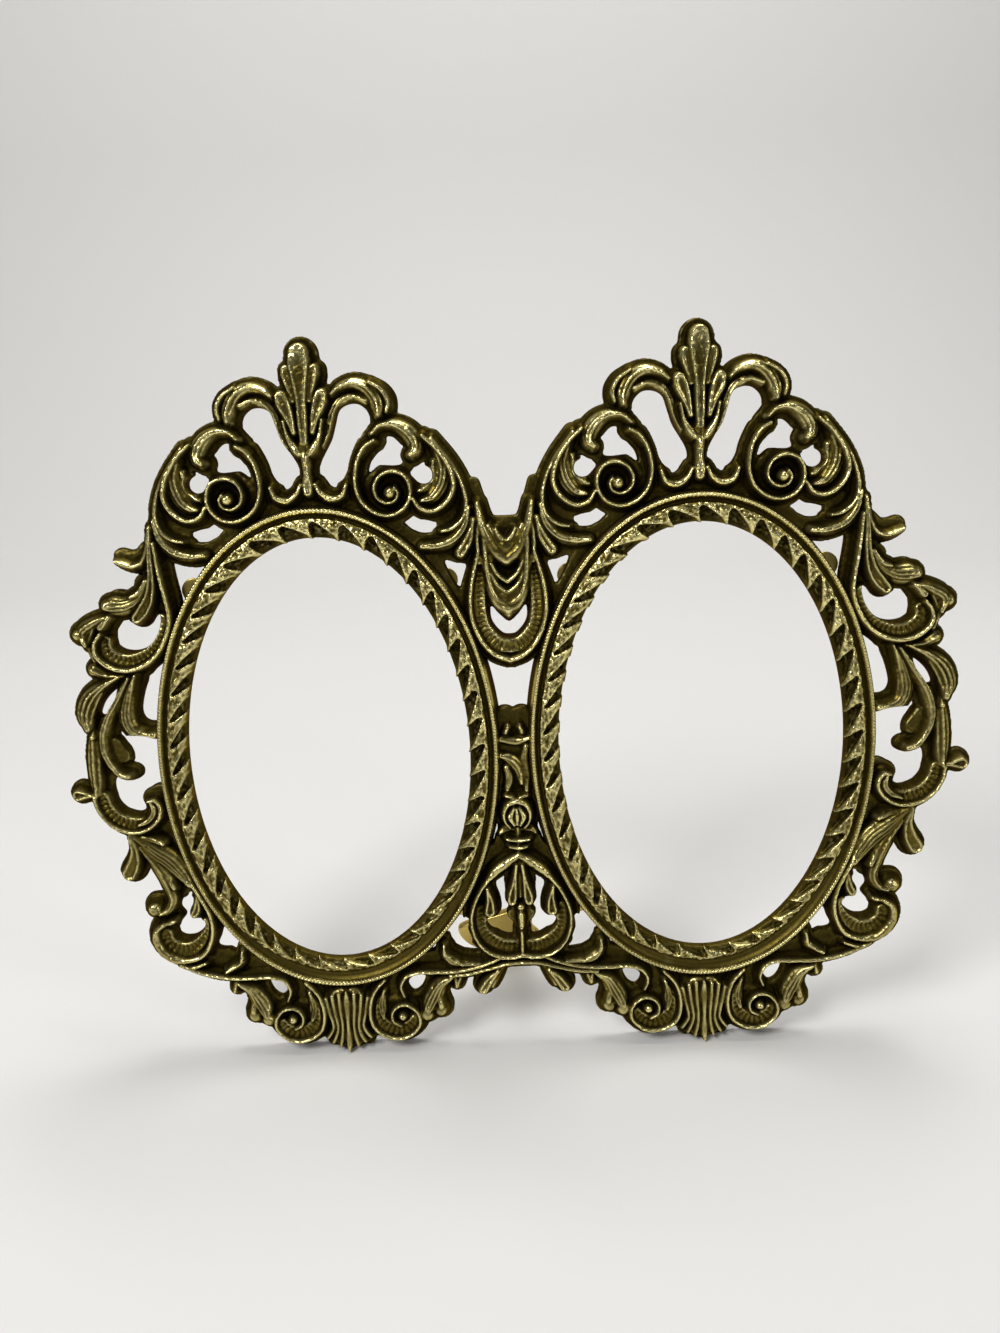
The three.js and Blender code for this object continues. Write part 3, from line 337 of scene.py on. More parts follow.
# Pendants, measured from their oval's axis
PENDANT_AXIS = (
    leaf(1, (0, -43.0, 0.6), (0, -45.0, 1.05), (0, -49.4, 0.75), (0, -52.2, 1.0), (0, -54.6, 0.55),
         top=3.7),
)
PENDANT_PAIR = (
    wire((1.35, -43.5, 0.5), (1.25, -46.0, 0.6), (1.0, -49.8, 0.45), (1.25, -52.0, 0.55), (1.6, -53.4, 0.4),
         top=3.5),
    wire((2.6, -43.8, 0.5), (2.3, -46.4, 0.58), (1.85, -49.8, 0.42), (2.3, -51.6, 0.5), (2.9, -52.7, 0.4),
         top=3.4),
    wire((3.7, -44.4, 0.45), (3.25, -46.8, 0.5), (2.7, -49.8, 0.4), (3.2, -51.0, 0.45), (3.9, -51.9, 0.4),
         top=3.3, margin=0.8),
    web((1.0, -44.6, 1.8), (0.9, -49.8, 1.4), (1.0, -51.8, 1.6), top=2.8),
    web((7.4, -42.4, 0.9), (8.8, -42.9)),
    web((7.6, -43.6, 1.2), (8.8, -44.4, 1.0)),
    wire((7.0, -41.0, 0.4), (4.9, -43.5, 0.45), (4.1, -47.5, 0.5), (4.9, -50.3), (7.5, -52.0),
         (10.5, -51.9), (12.7, -49.8, 0.45), (12.6, -47.6), (11.0, -46.0, 0.4), (9.2, -46.0), (8.0, -47.3),
         (8.2, -49.0), (9.5, -49.8, 0.35), top=3.7),
    ribbed((5.4, -46.4, 0.3), (5.8, -48.6, 0.7), (7.0, -50.2, 1.0), (8.8, -50.9, 1.1), (10.6, -50.4, 1.0),
           (11.7, -48.9, 0.5), top=2.8),
    dome(9.8, -48.1, 0.9, top=3.8),
    web((8.6, -48.3, 3.0), (9.0, -48.3), top=1.7),
    leaf(3, (6.6, -43.4, 0.5), (5.9, -46.2, 1.1), (6.4, -48.4, 0.7), top=2.9),
    wire((10.4, -44.4, 0.3), (9.8, -42.6, 0.4), (10.6, -40.8, 0.45), (12.8, -39.9), (16.0, -39.9),
         (19.0, -39.9), (22.0, -39.5), (25.0, -38.7), (28.5, -37.2, 0.4), top=3.5),
    leaf(4, (19.0, -40.9, 0.6), (16.8, -42.4, 1.2), (15.5, -44.7, 1.6), (14.6, -46.4, 1.4),
         (14.2, -47.2, 1.0)),
    leaf(1, (16.4, -44.4, 0.7), (16.7, -46.4, 0.9), top=3.2),
    dome(16.6, -47.3, 1.1, top=3.4),
    dome(14.1, -47.9, 1.25, top=3.8),
    leaf(1, (19.4, -40.8, 0.5), (19.7, -42.3, 0.7), top=3.0),
    leaf(2, (17.8, -34.9, 0.5), (18.3, -37.0, 0.8), (20.8, -38.5, 0.7), top=3.4),
    web((0, -43.0, 1.0), (6.4, -41.8), (12.6, -38.9, 0.9), (18.6, -37.6, 1.0)),
    web((11.8, -45.4, 0.6), (13.8, -43.2, 1.0), (16.0, -41.2, 0.9)),
    web((2.6, -44.2, 1.0), (4.2, -45.2, 0.8)),
)
PENDANT_HOLES: tuple[Loop, ...] = (
    ((10.9, -43.2), (11.1, -42.2), (12.1, -41.4), (13.9, -41.4), (13.7, -42.7), (12.9, -43.9),
     (11.8, -44.4)),
)

# Centre drapery, measured from the frame's centre line and drawn on both sides of it
DRAPERY_PAIR = (
    wire((4.4, 41.2, 0.5), (3.8, 37.9, 0.85), (2.9, 35.6, 1.05), (1.8, 33.5, 1.1), (0, 32.0), top=4.0),
    wire((2.7, 37.6, 0.35), (1.9, 35.6, 0.5), (0, 33.4, 0.55), top=3.7),
    wire((1.6, 37.0, 0.35), (1.1, 36.0, 0.5), (0, 34.7, 0.6), top=3.8),
    wire((2.5, 31.4, 0.35), (1.5, 29.6, 0.45), (0, 28.4, 0.5), top=3.7),
    wire((2.8, 30.0, 0.35), (1.7, 28.0, 0.45), (0, 26.6, 0.5), top=3.7),
    wire((3.5, 35.6, 0.5), (3.3, 31.6, 0.6), (2.8, 28.0), (1.8, 25.8, 0.65), (0, 24.6, 0.7), top=3.9),
    wire((4.5, 33.4, 0.35), (3.7, 30.8, 0.4), (3.1, 27.4, 0.45), (2.1, 24.8, 0.5), (0, 22.9, 0.55),
         top=3.5),
    leaf(1, (3.6, 36.4, 0.8), (3.1, 32.8, 1.2), (2.6, 29.6), (1.7, 27.2), (0, 25.6, 1.4), top=3.4),
    leaf(1, (2.6, 37.0, 0.9), (1.6, 35.4, 1.2), (0, 34.0, 1.5), top=3.6),
    leaf(1, (2.8, 27.2, 0.6), (1.8, 25.0, 1.0), (0, 23.8, 1.2), top=3.7),
    wire((4.5, 33.6, 0.4), (5.2, 31.0, 0.45), (5.9, 28.0, 0.5), (6.2, 25.0), (6.0, 22.5), (5.2, 20.0, 0.55),
         (4.0, 17.9), (2.3, 16.3, 0.6), (0, 15.4)),
    ribbed((4.4, 31.6, 0.4), (4.6, 28.0, 0.7), (4.7, 24.0, 0.8), (4.3, 21.2, 0.9), (3.1, 19.2, 1.0),
           (1.6, 18.0), (0, 17.7), top=2.9),
    petal((5.1, 38.6, 0.4), (6.0, 35.6, 0.9), (7.4, 33.4, 1.0)),
    wire((4.4, 38.0, 0.35), (4.6, 35.0, 0.45), (4.4, 31.6, 0.4), top=3.6),
    web((0, 36.7, 1.5), (0, 31.0, 2.4), (0, 26.0, 1.4), top=1.5),
    web((6.6, 36.0, 1.2), (8.0, 33.4, 1.0), (10.4, 32.6, 0.6)),
    web((7.2, 26.0, 1.0), (7.0, 21.0, 0.8), (5.2, 17.2, 0.5)),
    web((8.9, 27.3, 0.4), (10.1, 29.4), (11.3, 31.2, 0.5), (12.4, 32.6, 0.6), top=1.5),
    web((5.0, 37.6, 1.0), (4.6, 40.4, 0.6), (4.9, 42.2, 0.4)),
    web((5.0, 44.4, 0.5), (4.0, 41.2), (2.9, 38.6)),
    web((0, 37.7, 0.7), (1.9, 37.8)),
)
DRAPERY_HOLES: tuple[Loop, ...] = (
    ((6.8, 31.3), (8.2, 31.6), (10.2, 32.1), (9.9, 30.9), (9.2, 29.4), (8.5, 28.2), (8.0, 27.7),
     (7.6, 28.6), (7.1, 30.0)),
)
SWAG_HOLE: Loop = (
    (-2.9, 24.3), (-1.5, 22.7), (0, 21.6), (1.5, 22.7), (2.9, 24.3),
    (2.9, 22.6), (2.1, 21.0), (0, 20.1), (-2.1, 21.0), (-2.9, 22.6),
)

# Centre heart, measured from the frame's centre line. The first list isn't mirrored.
HEART_AXIS = (
    wire((0, -10.2, 0.25), (0, -11.6, 0.45), (0, -13.0, 0.25), top=4.8),
    dome(0, -11.6, 1.75, top=3.9),
    leaf(1, (-2.0, -15.6, 0.6), (0, -15.9, 0.75), (2.0, -15.6, 0.6), top=4.0),
    leaf(1, (-1.5, -17.0, 0.6), (0, -17.3, 0.7), (1.5, -17.0, 0.6), top=3.8),
    leaf(2, (0, -14.0, 0.7), (0, -17.6, 0.9), top=3.2),
    leaf(1, (0, -19.0, 0.3), (0, -23.0, 0.4), (0, -26.2, 0.5), top=3.2),
    petal((0, -29.4, 0.7), (0, -31.8, 0.6), top=3.9),
    dome(0, -28.2, 0.8, top=3.6),
    web((0, -29.0, 1.4), (0, -30.0, 2.1), (0, -31.6, 1.0), top=1.9),
    wire((0, -33.0, 0.4), (0, -36.6, 0.45), top=3.3),
    leaf(2, (-2.4, -1.2, 0.5), (-0.8, -1.8, 0.9), (0.6, -3.5), (1.0, -6.0, 0.6), top=3.0),
    leaf(2, (-1.5, -3.4, 0.5), (-1.1, -5.2, 0.7), (-1.5, -7.2, 0.6), top=2.7),
    leaf(1, (2.0, 0.2, 0.5), (1.6, -2.0, 0.7), (1.8, -5.0), (1.8, -7.4, 0.5), top=2.5),
    leaf(1, (-2.4, 1.6, 0.5), (0.4, 1.2, 0.7), (2.6, 1.8, 0.5), top=2.5),
)
HEART_PAIR = (
    wire((0, -9.0, 0.7), (1.5, -9.6, 0.65), (2.2, -11.2, 0.5), (2.0, -12.6, 0.4), (1.2, -13.7, 0.35),
         top=3.9),
    wire((0.5, -10.1, 0.3), (1.15, -11.6, 0.6), (0.5, -13.1, 0.3), top=4.7),
    leaf(1, (1.8, -8.2, 0.5), (0.6, -8.4), top=3.0),
    leaf(1, (1.0, 3.8, 0.5), (1.4, 2.9, 0.6), top=2.9),
    leaf(2, (0.8, -14.2, 0.5), (2.4, -14.4, 0.7), (3.2, -14.8, 0.4), top=2.8),
    wire((0, -18.6, 0.7), (1.8, -19.8, 0.95), (4.2, -21.6, 0.9), (5.6, -23.2, 0.5), (6.9, -25.0, 0.42),
         (8.4, -28.5), (8.6, -31.5), (7.6, -34.5), (5.5, -36.6, 0.45), (2.7, -37.4, 0.5), (0, -37.1)),
    ribbed((7.0, -28.6, 0.5), (7.0, -31.0, 0.8), (6.0, -33.8, 0.9), (3.6, -35.5), (0.8, -35.9)),
    petal((0.5, -20.4, 0.45), (0.95, -23.6, 0.7), (1.4, -26.2, 1.05), (1.5, -27.0, 0.95), top=3.9,
          hollow=1.0),
    petal((5.7, -24.6, 0.5), (5.3, -27.0, 0.9), (5.4, -28.9, 1.15), hollow=1.1),
    wire((0, -38.5, 0.45), (3.0, -38.7), (5.5, -39.4), (10.0, -40.4), (13.0, -40.6, 0.4), top=3.6),
    leaf(3, (7.6, -38.6, 0.5), (10.0, -38.6, 0.8), (12.4, -38.2, 0.9), (13.7, -36.6, 0.8),
         (13.8, -35.4, 0.5), top=3.4),
    petal((4.5, -40.0, 0.5), (6.0, -41.6, 0.9), (7.2, -43.4, 1.0)),
    leaf(2, (3.9, -39.6, 0.4), (5.0, -41.8, 0.6), (5.6, -43.0, 0.5), top=3.0),
    leaf(1, (11.2, -41.3, 0.5), (11.9, -42.7, 0.7), top=3.0),
    web((1.4, 5.2, 1.4), (1.4, -2.0, 1.6), (1.4, -9.0), top=1.5),
    web((2.0, -12.6, 1.0), (2.6, -17.0), (4.0, -19.6, 1.6), (7.0, -24.4, 1.0), (9.0, -27.8, 0.8)),
    web((0, -19.0, 0.8), (0, -24.0, 1.8), (0, -26.4, 2.4), (0, -28.4, 1.4), (0, -31.6, 1.0), (0, -35.2)),
    web((7.2, -25.8, 0.8), (6.4, -28.2)),
    web((0, -37.9, 0.6), (5.0, -38.4), (9.0, -38.8, 0.8), (12.0, -38.8, 0.9)),
)
HEART_HOLES: tuple[Loop, ...] = (
    ((3.0, -24.0), (3.9, -24.1), (4.2, -25.0), (3.7, -26.6), (3.4, -28.2), (3.5, -29.6), (4.5, -30.7),
     (5.8, -30.8), (6.1, -31.7), (5.3, -32.9), (3.4, -33.3), (1.9, -32.9), (1.5, -32.0), (2.3, -30.9),
     (2.6, -29.8), (2.3, -28.6), (2.8, -27.5), (2.7, -25.5)),
    ((9.4, -30.6), (12.6, -33.2), (12.5, -34.7), (11.4, -35.8), (9.6, -36.0), (8.9, -35.2), (9.5, -33.0)),
    ((3.7, -13.4), (4.4, -14.8), (5.0, -16.2), (4.1, -15.8), (3.5, -14.6)),
)


@dataclass(frozen=True)
class FramePlane:
    """The casting's own plane: across to the viewer's right, up the frame, and out to the front."""

    origin: np.ndarray
    across: np.ndarray
    up: np.ndarray
    front: np.ndarray

    @classmethod
    def from_clips(cls, joints: Sequence[dict]) -> "FramePlane":
        """Finds the casting's flat back from the clips' pivots, which lie evenly round its middle.

        Args:
            joints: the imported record's joints.

        Returns:
            The plane.
        """
        turns = [joint for joint in joints if joint["name"].endswith("_clip_turn")]
        front = np.array(turns[0]["axis"], float)
        front /= np.linalg.norm(front)
        across = np.array((1.0, 0.0, 0.0))
        origin = np.mean([joint["pos_m"] for joint in turns], axis=0)
        return cls(origin, across, np.cross(front, across), front)

    def to_world(self, points: np.ndarray) -> np.ndarray:
        """Turns (across, up, out) rows in millimetres into the row frame's metres."""
        return self.origin + points @ np.stack((self.across, self.up, self.front)) * MM

    def to_plane(self, place: Sequence[float]) -> np.ndarray:
        """Turns a point in the row frame's metres into (across, up, out) in millimetres."""
        away = (np.array(place) - self.origin) / MM
        return np.array((away @ self.across, away @ self.up, away @ self.front))


PLANE = FramePlane.from_clips(frame["joints"])


def bow(share: np.ndarray) -> np.ndarray:
    """A half-round section: the height of a unit circle over a share of its radius."""
    return np.sqrt(np.clip(1.0 - share * share, 0.0, 1.0))


def blur(values: np.ndarray, sigma: float, wrap: bool = False) -> np.ndarray:
    """A Gaussian average over a grid, one axis at a time.

    Args:
        values: the grid.
        sigma: the bell's width in grid steps.
        wrap: whether the first axis closes on itself.

    Returns:
        The averaged grid.
    """
    widths_kept = 3
    reach = int(math.ceil(widths_kept * sigma))
    bell = np.exp(-0.5 * (np.arange(-reach, reach + 1) / sigma) ** 2)
    bell /= bell.sum()
    for axis in (0, 1):
        pad = [(0, 0), (0, 0)]
        pad[axis] = (reach, reach)
        padded = np.pad(values, pad, mode="wrap" if wrap and axis == 0 else "edge")
        count = values.shape[axis]
        shifted = (padded.take(range(shift, shift + count), axis) for shift in range(len(bell)))
        values = sum(weight * part for weight, part in zip(bell, shifted))
    return values


@dataclass(frozen=True)
class Path:
    """A smooth line through a route's points, as evenly spaced samples."""

    points: np.ndarray
    half: np.ndarray
    tangent: np.ndarray
    along: np.ndarray

    @classmethod
    def through(cls, route: np.ndarray, closed: bool) -> "Path":
        """Draws a cubic through the points, whose slope at each comes from the chords on both sides of it.

        Args:
            route: rows of (across, up, half-width).
            closed: whether the line returns to its first point.

        Returns:
            The sampled line.
        """
        drawn_per_point, fewest = 24, 3
        if len(route) == 1:
            return cls(route[:, :2], route[:, 2], np.array(((1.0, 0.0),)), np.zeros(1))
        if closed:
            route = np.concatenate((route[-2:], route, route[:3]))
        chord = np.hypot(*np.diff(route[:, :2], axis=0).T)
        knots = np.concatenate(((0.0,), np.cumsum(np.sqrt(chord))))
        slopes = np.gradient(route, knots, axis=0)
        first, last = (knots[2], knots[-3]) if closed else (knots[0], knots[-1])
        at = np.linspace(first, last, drawn_per_point * len(route))
        cell = np.clip(np.searchsorted(knots, at, side="right") - 1, 0, len(knots) - 2)
        width = (knots[cell + 1] - knots[cell])[:, None]
        share = (at - knots[cell])[:, None] / width
        back = 1.0 - share
        dense = (
            route[cell] * (1 + 2 * share) * back**2
            + route[cell + 1] * (1 + 2 * back) * share**2
            + slopes[cell] * width * share * back**2
            - slopes[cell + 1] * width * back * share**2
        )
        run = np.concatenate(((0.0,), np.cumsum(np.hypot(*np.diff(dense[:, :2], axis=0).T))))
        along = np.linspace(0.0, run[-1], max(fewest, int(run[-1] / ROUTE_STEP) + 1))
        even = np.stack([np.interp(along, run, column) for column in dense.T], axis=1)
        tangent = np.gradient(even[:, :2], along, axis=0)
        tangent /= np.linalg.norm(tangent, axis=1, keepdims=True)
        return cls(even[:, :2], even[:, 2], tangent, along)


@dataclass(frozen=True)
class Place:
    """Where a motif is drawn: its axis's distance from the centre line, and -1 where it is mirrored."""

    axis: float
    mirror: int = 1

    def path(self, route: Sequence[Point], closed: bool = False) -> Path:
        """The smooth line of a route at this place, with each half-width kept until the next is given."""
        rows = []
        half = 0.0
        for across, up, *given in route:
            half = given[0] if given else half
            rows.append((self.axis + self.mirror * across, up, half))
        return Path.through(np.array(rows), closed)


@dataclass
class Near:
    """Points by a line: distance aside, signed distance across, run along it, run left, half-width."""

    aside: np.ndarray
    across: np.ndarray
    along: np.ndarray
    left: np.ndarray
    half: np.ndarray

    def at_edge(self) -> "Near":
        """The same points, moved to the line's edge."""
        return Near(self.half, self.half, self.along, self.left, self.half)


def wire_top(stroke: Stroke, near: Near) -> np.ndarray:
    """A half-round ridge on the shoulder."""
    return SHOULDER + (stroke.top - SHOULDER) * bow(near.aside / near.half)


def leaf_top(stroke: Stroke, near: Near) -> np.ndarray:
    """A crown that lifts at its tip, less a hollow for each flute: 1 - |2f - 1|^p over its share f."""
    edge_share = 0.3
    hollow_power, hollow_slope, deepest = 1.5, 1.35, 0.9
    tip_length, tip = 2.2, Ramp(0.0, 1.0, 0.35)
    phase = np.clip(0.5 + 0.5 * near.across / near.half, 0.0, 1.0) * stroke.flutes
    hollow = 1.0 - np.abs(2.0 * (phase - np.floor(phase)) - 1.0) ** hollow_power
    depth = np.minimum(deepest, hollow_slope * near.half / stroke.flutes) if stroke.flutes > 1 else 0.0
    crown = edge_share + (1.0 - edge_share) * bow(near.aside / near.half)
    lift = tip(1.0 - near.left / tip_length)
    return SHOULDER + (stroke.top + lift - SHOULDER) * crown - depth * hollow


def petal_top(stroke: Stroke, near: Near) -> np.ndarray:
    """A rim that follows the edge, as a bell of the distance from it, over a gently crowned floor."""
    rim_inset, rim_width, floor_crown = 0.2, 0.24, 0.5
    edge = near.half - near.aside
    floor = stroke.top - stroke.hollow + floor_crown * stroke.hollow * bow(near.aside / near.half)
    rim = np.exp(-(((edge - rim_inset) / rim_width) ** 2))
    return floor + (stroke.top - floor) * rim


def ribbed_top(stroke: Stroke, near: Near) -> np.ndarray:
    """A hollow across the channel, with ribs that rise and fall as a cosine along it."""
    dish, rib_pitch, rib_rise = 0.35, 0.85, 0.22
    share = np.clip(near.across / near.half, -1.0, 1.0)
    rib = 0.5 + 0.5 * np.cos(2.0 * np.pi * near.along / rib_pitch)
    return stroke.top - dish * (1.0 - share**2) + rib_rise * rib * (1.0 - share**4)


def plain_top(stroke: Stroke, near: Near) -> np.ndarray:
    """One level all over."""
    return np.full_like(near.aside, stroke.top)


TOPS: dict[Cut, Callable[[Stroke, Near], np.ndarray]] = {
    Cut.WIRE: wire_top,
    Cut.LEAF: leaf_top,
    Cut.PETAL: petal_top,
    Cut.RIBBED: ribbed_top,
    Cut.PLAIN: plain_top,
    Cut.DOME: wire_top,
}


@dataclass
class Skin:
    """A closed mesh: points in millimetres, four-cornered faces, which are flat, point values, and caps."""

    points: np.ndarray
    faces: np.ndarray
    flat: np.ndarray
    values: dict[str, np.ndarray]
    caps: tuple[np.ndarray, ...] = ()


def painted_top_light(across: np.ndarray, up: np.ndarray) -> np.ndarray:
    """Painted light: how much brighter the brass is painted, from its dim feet and shaded outer sides up to
    its lit crests.
    """
    rise = TOP_LIGHT_FEET + TOP_LIGHT_BODY(up) + TOP_LIGHT_CREST(up) + TOP_LIGHT_FINIAL(up)
    return rise * (1.0 - SHADED_OUTER_SIDE(np.abs(across)))


class Relief:
    """The casting's relief over one even grid of points in the frame's plane."""

    def __init__(self, low: tuple[float, float], high: tuple[float, float]) -> None:
        """Lays out the grid between two corners, in millimetres."""
        self.across = np.arange(low[0], high[0], GRID_PITCH)
        self.up = np.arange(low[1], high[1], GRID_PITCH)
        shape = (len(self.up), len(self.across))
        self.depth = np.full(shape, -FAR)
        self.height = np.zeros(shape)
        self.owner = np.full(shape, -1)

    def window(self, points: np.ndarray, reach: float) -> tuple[slice, slice]:
        """The rows and columns of the grid within reach of some points."""
        low = points.min(axis=0) - reach
        high = points.max(axis=0) + reach
        columns = np.searchsorted(self.across, (low[0], high[0]))
        rows = np.searchsorted(self.up, (low[1], high[1]))
        return slice(*rows), slice(*columns)

    def nearest(self, path: Path, reach: float) -> tuple[tuple[slice, slice], Near]:
        """Finds, for each grid point near a line, the line's nearest sample and the place beside it.

        Args:
            path: the line.
            reach: how far from it points are looked at.

        Returns:
            The window of the grid, and where its points lie beside the line.
        """
        stretch = 24
        rows, columns = self.window(path.points, reach)
        shape = (rows.stop - rows.start, columns.stop - columns.start)
        gap = np.full(shape, np.inf)
        sample = np.zeros(shape, int)
        for start in range(0, len(path.along), stretch):
            part = path.points[start:start + stretch + 1]
            near_rows, near_columns = self.window(part, reach)
            x = self.across[near_columns][None, :, None] - part[:, 0]
            y = self.up[near_rows][:, None, None] - part[:, 1]
            square = x * x + y * y
            best = square.argmin(axis=2)
            least = np.take_along_axis(square, best[..., None], axis=2)[..., 0]
            here = (slice(near_rows.start - rows.start, near_rows.stop - rows.start),
                    slice(near_columns.start - columns.start, near_columns.stop - columns.start))
            closer = least < gap[here]
            gap[here] = np.where(closer, least, gap[here])
            sample[here] = np.where(closer, best + start, sample[here])
        x = self.across[columns][None, :] - path.points[sample, 0]
        y = self.up[rows][:, None] - path.points[sample, 1]
        tangent = path.tangent[sample]
        reached = np.isfinite(gap)
        ahead = np.where(reached, x * tangent[..., 0] + y * tangent[..., 1], 0.0)
        across = np.where(reached, x * tangent[..., 1] - y * tangent[..., 0], 2.0 * reach)
        along = np.clip(path.along[sample] + ahead, 0.0, path.along[-1])
        past = path.along[sample] + ahead - along
        half = np.interp(along, path.along, path.half)
        return (rows, columns), Near(np.hypot(across, past), across, along, path.along[-1] - along, half)

    def carve(self, stroke: Stroke, place: Place, owner: int) -> None:
        """Raises one stroke: its carved top, flanks that fall to the web, and a margin of web round it.

        Args:
            stroke: what to carve.
            place: where.
            owner: the number of the section that it belongs to.
        """
        path = place.path(stroke.route)
        window, near = self.nearest(path, path.half.max() + stroke.margin + GRID_PITCH)
        depth = stroke.margin - near.aside + near.half
        if stroke.cut in (Cut.LEAF, Cut.PETAL):
            depth = depth - BORDER
            near.half = np.maximum(near.half - BORDER, LEAST_HALF)
        beyond = near.aside - near.half
        inner = TOPS[stroke.cut](stroke, near)
        at_edge = TOPS[stroke.cut](stroke, near.at_edge())
        outer = np.maximum(WEB_LEVEL, at_edge - (at_edge - WEB_LEVEL) * FLANK(beyond))
        top = np.where(beyond < 0.0, inner, np.minimum(outer, at_edge))
        known = self.depth[window]
        self.owner[window] = np.where(depth > known, owner, self.owner[window])
        self.depth[window] = np.maximum(known, depth)
        self.height[window] = np.maximum(self.height[window], np.where(depth > 0.0, top, 0.0))

    def pierce(self, loop: Loop, place: Place) -> None:
        """Opens a hole: the depth turns negative inside it, by an odd count of crossings to one side.

        Args:
            loop: the hole's outline points.
            place: where it lies.
        """
        path = place.path(loop, closed=True)
        (rows, columns), near = self.nearest(path, FAR)
        x = self.across[columns][None, :, None]
        y = self.up[rows][:, None, None]
        start = path.points
        end = np.roll(start, -1, axis=0)
        spans = (start[:, 1] > y) != (end[:, 1] > y)
        rise = np.where(end[:, 1] == start[:, 1], 1.0, end[:, 1] - start[:, 1])
        crossing = start[:, 0] + (end[:, 0] - start[:, 0]) * (y - start[:, 1]) / rise
        inside = (spans & (x < crossing)).sum(axis=2) % 2 == 1
        gap = np.where(inside, -near.aside, near.aside)
        self.depth[rows, columns] = np.minimum(self.depth[rows, columns], gap)

    def stands_proud(self, reach: float) -> np.ndarray:
        """How far each point stands above the mean of the metal round it, within a reach in millimetres."""
        least_share = 0.05
        metal = (self.field > 0.0).astype(float)
        share = np.maximum(blur(metal, reach / GRID_PITCH), least_share)
        return self.height - blur(self.height * metal, reach / GRID_PITCH) / share

    def settle(self, trim: np.ndarray) -> None:
        """Rounds the outline's corners, lets the walls fall to it as a quarter ellipse, and paints its wear,
        patina and light.

        Args:
            trim: distance inside the relief's bounds, negative beyond them.
        """
        self.depth = blur(np.maximum(self.depth, -FAR), FILLET / GRID_PITCH)
        self.height = blur(self.height, SOFTEN / GRID_PITCH)
        wall = WALL_HEIGHT * bow(1.0 - np.clip(self.depth / WALL_ROUND, 0.0, 1.0))
        self.height = np.minimum(self.height, wall)
        self.field = np.minimum(self.depth, trim)
        self.paint_wear_and_light()

    def paint_wear_and_light(self) -> None:
        """Paints wear and highlight on what stands proud, brighter towards the crest, paints patina and
        shade on what lies low, steep or near the outline, and pits the skin.
        """
        arris, proud, broad = (self.stands_proud(reach) for reach in (ARRIS_REACH, FORM_REACH, BROAD_REACH))
        steep = STEEP_SLOPE(np.hypot(*np.gradient(self.height, GRID_PITCH)))
        # Wear and painted highlight: proud forms and arrises are painted brighter, less on steep faces and
        # more towards the crest
        worn = WORN_LIT_FORM(proud) + WORN_LIT_ARRIS(arris) + WORN_LIT_BROAD(broad)
        worn = worn * (1.0 - STEEP_KEPT_DULL * steep) * painted_top_light(self.across[None, :], self.up[:, None])
        self.wear_and_highlight = np.minimum(worn, 1.0)
        # Dark patina and painted shade: hollows, grooves, steep walls and the low web are painted darker
        dark_patina_shade = np.maximum(HOLLOW_PATINA_SHADE(-proud), GROOVE_PATINA_SHADE(-arris))
        dark_patina_shade = np.maximum(dark_patina_shade, STEEP_PATINA_SHADE * steep)
        dark_patina_shade = np.maximum(dark_patina_shade, WEB_PATINA_SHADE * (1.0 - ABOVE_WEB(self.height)))
        self.patina_and_shade = dark_patina_shade * (EDGE_PATINA_SHADE + INSIDE_EDGE(self.field))
        pits = np.random.default_rng(GRAIN_SEED).standard_normal(self.height.shape)
        grain = blur(pits, GRAIN_SIZE / GRID_PITCH)
        coarse = GRAIN_HEIGHT * (1.0 + GRAIN_BROAD(broad)) * GRAIN_ABOVE(self.height)
        self.height = self.height + coarse * grain / grain.std()

    def cells(self) -> tuple[np.ndarray, np.ndarray]:
        """Places one vertex in each grid cell: its middle, or the mean of where the outline crosses it.

        Returns:
            The vertices' column and row, in grid steps.
        """
        low_left, low_right = self.field[:-1, :-1], self.field[:-1, 1:]
        high_left, high_right = self.field[1:, :-1], self.field[1:, 1:]
        rows, columns = np.indices(low_left.shape, dtype=float)
        sum_x, sum_y, count = (np.zeros(low_left.shape) for _ in range(3))
        sides = (
            (low_left, low_right, (0.0, 0.0), (1.0, 0.0)),
            (high_left, high_right, (0.0, 1.0), (1.0, 0.0)),
            (low_left, high_left, (0.0, 0.0), (0.0, 1.0)),
            (low_right, high_right, (1.0, 0.0), (0.0, 1.0)),
        )
        for first, second, corner, way in sides:
            crossed = (first > 0.0) != (second > 0.0)
            share = np.where(crossed, first / np.where(crossed, first - second, 1.0), 0.0)
            sum_x += np.where(crossed, corner[0] + way[0] * share, 0.0)
            sum_y += np.where(crossed, corner[1] + way[1] * share, 0.0)
            count += crossed
        mixed = count > 0
        x = columns + np.where(mixed, sum_x / np.maximum(count, 1), 0.5)
        y = rows + np.where(mixed, sum_y / np.maximum(count, 1), 0.5)
        return x, y

    @staticmethod
    def sampled(values: np.ndarray, x: np.ndarray, y: np.ndarray) -> np.ndarray:
        """The grid's values between its points, mixed from the four nearest."""
        column = np.floor(x).astype(int)
        row = np.floor(y).astype(int)
        right = x - column
        above = y - row
        low = values[row, column] * (1 - right) + values[row, column + 1] * right
        high = values[row + 1, column] * (1 - right) + values[row + 1, column + 1] * right
        return low * (1 - above) + high * above

